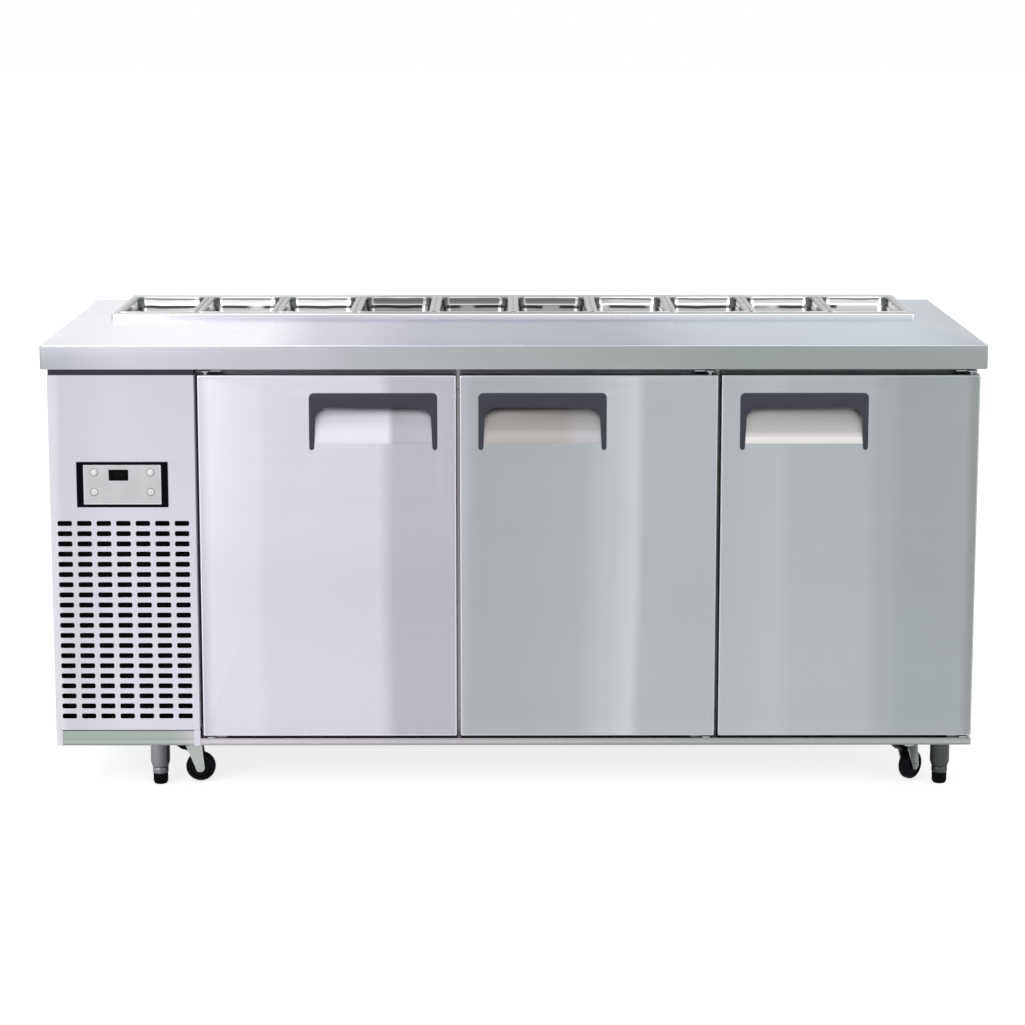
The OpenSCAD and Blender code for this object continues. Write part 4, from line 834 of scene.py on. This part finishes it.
for k in (1, 2, 3):
    settle(moulded_handle(k), slate_plastic, f"door_{k}", f"door_{k}_handle", angle=50)
print("handles: 3 of", size_mm("door_1_grip"), "mm")

# %% [markdown]
# Sheet and bar parts that only need their edges eased are refined straight from their
# nodes. The punched grille is one of them: a tiny round on each slot is what makes a
# row of punched holes catch the light.

# %% Cabinet sheets, brackets and inner parts
for node, finish, slot, width in (
        ("outer_shell", body_steel, "body_steel", 0.0005), ("door_frame", base_rail_steel_painted_light, "body_steel", 0.0010),
        ("inner_liner", liner_steel, "liner_steel", 0.0004),
        ("unit_front_panel", panel_steel_painted_light, "body_steel", 0.0009),
        ("hinge_brackets", zinc, "zinc", 0.0005), ("evaporator_housing", liner_steel, "liner_steel", 0.0006),
        ("controller_bezel", black_plastic, "black_plastic", 0.0006),
        ("controller_face", silver_film, "controller_plate", 0.0004),
        ("leg_and_caster_mounts", leg_steel_painted_light_and_shade, "zinc", 0.0008),
        ("left_caster_fork", fork_steel, "zinc", 0.0007), ("right_caster_fork", fork_steel, "zinc", 0.0007),
        ("left_brake_pedal", black_plastic, "black_plastic", 0.0010),
        ("right_brake_pedal", black_plastic, "black_plastic", 0.0010),
        ("condenser_coil", black_fin_and_painted_shade, "zinc", 0.0), ("fan_motors", zinc, "zinc", 0.0010),
        ("compressor", compressor_paint, "compressor_paint", 0.0010),
        ("condenser_fan_blade", black_plastic, "fan_plastic", 0.0004),
        ("evaporator_fan_blade", black_plastic, "fan_plastic", 0.0004),
        ("wire_shelves", zinc, "zinc", 0.0), ("evaporator_and_tubes", copper, "copper", 0.0),
        ("cable_gland", black_plastic, "black_plastic", 0.0008), ("fasteners", zinc, "zinc", 0.0006)):
    refined(node, finish, width)
coated(NODES["cabinet_foam"], foam)

# %% [markdown]
# Behind the grille stands a black dust filter: a thin pad, pleated up and down, in a
# folded frame. It hides the machine and lets the air through, and its black also stands
# in for the shade behind the grille's slots.

# %% Dust filter
def folded_box(bm, lo, hi, r=0.0008):
    """A thin plate or bar with a small round on its upright edges."""
    loops = [[(x, y, z) for x, y in round_loop(lo[0], hi[0], lo[1], hi[1], r, 2)] for z in (lo[2], hi[2])]
    skin(bm, loops, first=True, last=True)
    return bm


panel_lo, panel_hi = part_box("unit_front_panel")
bezel_lo, bezel_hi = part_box("controller_bezel")
inset, fold, pleat, pleats = 0.006, 0.005, 0.004, 36
x0, x1 = panel_lo.x + inset, panel_hi.x - inset
z0, z1 = panel_lo.z + inset, bezel_lo.z - 0.004
filter_y = panel_lo.y + 0.014
zigzag = [(x0 + (x1 - x0) * k / pleats, filter_y + (pleat if k % 2 else 0.0)) for k in range(pleats + 1)]
outline = zigzag + [(x, y + 0.002) for x, y in reversed(zigzag)]
pad = bmesh.new()
skin(pad, [[(x, y, z) for x, y in outline] for z in (z0, z1)], first=True, last=True)
settle(from_bm("filter_pad_and_painted_shade", pad), black_fin_and_painted_shade, "cabinet", angle=10)
frame_bars = bmesh.new()
for xa, za, xb, zb in ((x0, z0, x0 + fold, z1), (x1 - fold, z0, x1, z1),
                       (x0 + fold, z0, x1 - fold, z0 + fold), (x0 + fold, z1 - fold, x1 - fold, z1)):
    folded_box(frame_bars, (xa, filter_y - 0.003, za), (xb, filter_y - 0.0005, zb))
settle(from_bm("filter_frame", frame_bars), black_plastic, "cabinet")
print("filter:", pleats, "pleats,", size_mm("filter_pad_and_painted_shade"), "mm")

# %% [markdown]
# Two short folded caps close the ends of the plinth below the machine panel. A grey foam
# tape lines the side of the panel that the first door closes against, and its pale grey is
# also painted light for the light that falls into that gap. A dark strip seals the gap
# between the panel and the worktop, and its dark is also painted shade for that gap.

# %% Plinth caps, tape and sealing strip
caps = bmesh.new()
cap_w, cap_z, cap_top = 0.0125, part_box("door_frame")[0].z, panel_lo.z - 0.0004
for cap_x, fold_x in ((panel_lo.x, panel_lo.x), (panel_hi.x - cap_w + 0.001, panel_hi.x - 0.0002)):
    folded_box(caps, (cap_x, panel_lo.y + 0.0006, cap_z), (cap_x + cap_w, panel_lo.y + 0.0019, cap_top))
    folded_box(caps, (fold_x, panel_lo.y + 0.0015, cap_z), (fold_x + 0.0012, panel_hi.y, cap_top), 0.0003)
settle(from_bm("plinth_caps", caps), panel_steel_painted_light, "cabinet")
# Painted light: the pale tape stands in for light falling into the gap beside the first door.
tape = folded_box(bmesh.new(), (panel_hi.x + 0.0001, panel_lo.y + 0.003, panel_lo.z + 0.002),
                  (panel_hi.x + 0.0007, panel_hi.y - 0.002, panel_hi.z - 0.002), 0.0002)
settle(from_bm("panel_edge_tape_painted_light", tape), edge_tape_painted_light, "cabinet")
# Painted shade: a dark strip in the gap under the worktop's front.
shade_strip = folded_box(bmesh.new(), (panel_lo.x + 0.001, panel_lo.y + 0.004, panel_hi.z + 0.0002),
                   (panel_hi.x - 0.001, panel_lo.y + 0.010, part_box("worktop")[0].z - 0.0002), 0.0006)
settle(from_bm("worktop_sealing_strip_painted_shade", shade_strip), slate_plastic, "cabinet")
print("plinth caps: 2; tape and strip:", size_mm("panel_edge_tape_painted_light"), size_mm("worktop_sealing_strip_painted_shade"), "mm")

# %% [markdown]
# The controller has four round domed buttons. Each is turned from a short section with a
# soft crown, and stands in a thin raised collar, dark grey as painted shade round the
# button. A border frames the plate they sit in, pale as a painted highlight along the
# plate's edge.

# %% Buttons, collars and plate border
BUTTONS = (1, 2, 3, 4)


def domed_button(k):
    lo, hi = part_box(f"controller_button_{k}")
    r, depth = (hi.x - lo.x) / 2, hi.y - lo.y
    ease, swell = 0.0009, 0.0006
    crown = [(r - ease + ease * x, depth - ease + swell * z) for x, z in fillet((0, 0), 1, 0, 90, 3)[1:]]
    section = [(r, 0), (r, depth - ease)] + crown + [(r * 0.5, depth - 0.0001), (r * 0.12, depth)]
    piece = turned(f"controller_button_{k}_cap", section, 40)
    seat = Matrix.Translation(((lo.x + hi.x) / 2, hi.y, (lo.z + hi.z) / 2))
    piece.data.transform(seat @ Matrix.Rotation(math.radians(90), 4, "X"))
    return piece


for k in BUTTONS:
    cap = domed_button(k)
    settle(cap, button_plastic, f"button_{k}", f"controller_button_{k}", angle=60)

plate_lo, plate_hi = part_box("controller_face")
mid_x, mid_z = (plate_lo.x + plate_hi.x) / 2, (plate_lo.z + plate_hi.z) / 2
half_x, half_z = (plate_hi.x - plate_lo.x) / 2, (plate_hi.z - plate_lo.z) / 2
# Painted highlight: a pale raised border for the bright line along the plate's edge.
border = bmesh.new()
skin(border, [[(mid_x + x, plate_lo.y + y, mid_z + z)
               for x, z in round_loop(d - half_x, half_x - d, d - half_z, half_z - d, 0.0015, 3)]
              for d, y in ((0.0002, 0.0002), (0.0003, -0.0002), (0.0008, -0.0004), (0.0019, -0.0004),
                           (0.0023, 0.0002))], ring=True)
settle(from_bm("controller_plate_border_painted_highlight", border), border_film_painted_highlight, "cabinet")
# Painted shade: dark grey collars round the buttons.
collars = bmesh.new()
for k in BUTTONS:
    lo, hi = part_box(f"controller_button_{k}")
    center, r = ((lo.x + hi.x) / 2, (lo.z + hi.z) / 2), (hi.x - lo.x) / 2
    skin(collars, [[(x, plate_lo.y + y, z) for x, z in fillet(center, r + d, 0, 350, 35)]
                   for d, y in ((0.0004, 0.0002), (0.0004, -0.0003), (0.0012, -0.0003), (0.0015, 0.0002))],
         ring=True)
settle(from_bm("button_collars_painted_shade", collars), collar_plastic_painted_shade, "cabinet")
print("buttons:", len(BUTTONS), "of", size_mm("controller_button_1_cap"), "mm")

# %% [markdown]
# Above the buttons is a dark display window. The digits are the plain seven-segment kind,
# seven little bars to a digit, switched on where the number needs them.

# %% Display
SEGMENTS = {"0": "abcdef", "4": "fgbc"}


def segment_digits(text, center, height):
    """Seven-segment digits that stand on the front of the display window."""
    bm = bmesh.new()
    w, h, t = height * 0.5, height, height * 0.11
    bars = {"a": ((0, h / 2), (w, t)), "g": ((0, 0), (w, t)), "d": ((0, -h / 2), (w, t)),
            "b": ((w / 2, h / 4), (t, h / 2)), "c": ((w / 2, -h / 4), (t, h / 2)),
            "f": ((-w / 2, h / 4), (t, h / 2)), "e": ((-w / 2, -h / 4), (t, h / 2))}
    for n, digit in enumerate(text):
        x0 = center[0] + (n - (len(text) - 1) / 2) * w * 1.6
        for bar in SEGMENTS[digit]:
            (x, z), (bw, bh) = bars[bar]
            loop = [(x0 + x + u * (bw - t * 0.35) / 2, z + center[2] + v * (bh - t * 0.35) / 2)
                    for u, v in ((-1, -1), (1, -1), (1, 1), (-1, 1))]
            skin(bm, [[(a, center[1] + 0.00015, b) for a, b in loop], [(a, center[1], b) for a, b in loop]],
                 first=True, last=True)
    return from_bm("display_digits", bm)


bezel_x, bezel_z = (bezel_lo.x + bezel_hi.x) / 2, (bezel_lo.z + bezel_hi.z) / 2
window = (bezel_x - 0.007, plate_lo.y - 0.0001, bezel_z + 0.0185)
glass = bmesh.new()
skin(glass, [[(window[0] + x, y, window[2] + z) for x, z in round_loop(-w, w, -h, h, 0.0012, 3)]
             for w, h, y in ((0.0184, 0.0104, plate_lo.y + 0.0010), (0.0184, 0.0104, window[1] + 0.0001),
                             (0.0181, 0.0101, window[1] - 0.0002))], first=True, last=True)
settle(from_bm("display_window", glass), display_glass, "cabinet")
digits = segment_digits("04", (window[0], window[1] - 0.00035, window[2]), 0.0095)
settle(digits, digit_glow, "cabinet")
print("display:", size_mm("display_window"), "mm")

# %% [markdown]
# A caster wheel is a grey-black rubber tyre on a moulded centre. Turning a section gives
# the crowned tread, the step between tyre and centre, and the hub boss round the axle.
# The front wheels are turned on their forks, so each is made upright and then laid along
# the axle that its node shows.

# %% Wheels
def caster_wheel(node, heading):
    lo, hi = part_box(node)
    center = (lo + hi) / 2
    r, half = (hi.z - lo.z) / 2, 0.011
    tyre = [(r * 0.68, -half + 0.0020), (r * 0.70, -half + 0.0004)]
    tyre += fillet((r - 0.0085, -half + 0.0085), 0.0085, -90, -8, 6)
    tyre += [(x, -z) for x, z in reversed(tyre)]
    hub = [(0.0046, -half - 0.0006), (0.0090, -half - 0.0006), (0.0100, -half + 0.0004),
           (0.0105, -half + 0.0034), (r * 0.62, -half + 0.0034), (r * 0.67, -half + 0.0016),
           (r * 0.68, -half + 0.0030)]
    hub += [(x, -z) for x, z in reversed(hub)]
    upright = Matrix.Rotation(math.radians(90), 4, "Y")
    turn = Matrix.Translation(center) @ Matrix.Rotation(heading, 4, "Z") @ upright
    for name, section, finish in (("tyre", tyre, wheel_rubber), ("centre", hub, black_plastic)):
        piece = turned(f"{node}_{name}", section, 56)
        piece.data.transform(turn)
        settle(piece, finish, BODY_OF[node], angle=40)
    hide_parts(node)


axle_of = {j["child"]: j["axis"] for j in frame["record"]["behaviour"]["joints"]}
for node in ("left_front_wheel", "right_front_wheel", "left_rear_wheel", "right_rear_wheel"):
    axle = axle_of[BODY_OF[node]]
    caster_wheel(node, math.atan2(axle[1], axle[0]))
print("wheels: 4, tyre", size_mm("left_rear_wheel_tyre"), "mm")

# %% [markdown]
# Each foot is a black rubber pad under a bright adjusting ring, on a threaded stem that
# goes up into the leg.

# %% Feet
def levelling_foot(side):
    node = f"{side}_foot"
    lo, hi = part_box(node)
    center = (lo + hi) / 2
    rubber = [(0.0100, 0), (0.0120, 0.0003), (0.0138, 0.0030), (0.0145, 0.0060), (0.0145, 0.0190),
              (0.0140, 0.0220), (0.0110, 0.0220)]
    ring = [(0.0135, 0.0218), (0.0150, 0.0222), (0.0155, 0.0230), (0.0155, 0.0330), (0.0149, 0.0338),
            (0.0064, 0.0340)]
    thread = [(0.0060, 0.0338)]
    z = 0.0342
    while z < hi.z - 0.0006:
        thread += [(0.0060, z), (0.0055, z + 0.0007)]
        z += 0.0014
    thread += [(0.0052, hi.z)]
    # The ring takes the legs' finish, with its painted light and shade.
    for name, section, finish, slot in (("rubber", rubber, foot_rubber, "foot_rubber"),
                                        ("ring", ring, leg_steel_painted_light_and_shade, "zinc"), ("thread", thread, zinc, "zinc")):
        piece = turned(f"{node}_{name}", section, 40)
        piece.data.transform(Matrix.Translation((center.x, center.y, 0)))
        settle(piece, finish, BODY_OF[node], angle=40)
    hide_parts(node)


for side in ("left", "right"):
    levelling_foot(side)
print("feet: 2, rubber", size_mm("left_foot_rubber"), "mm")
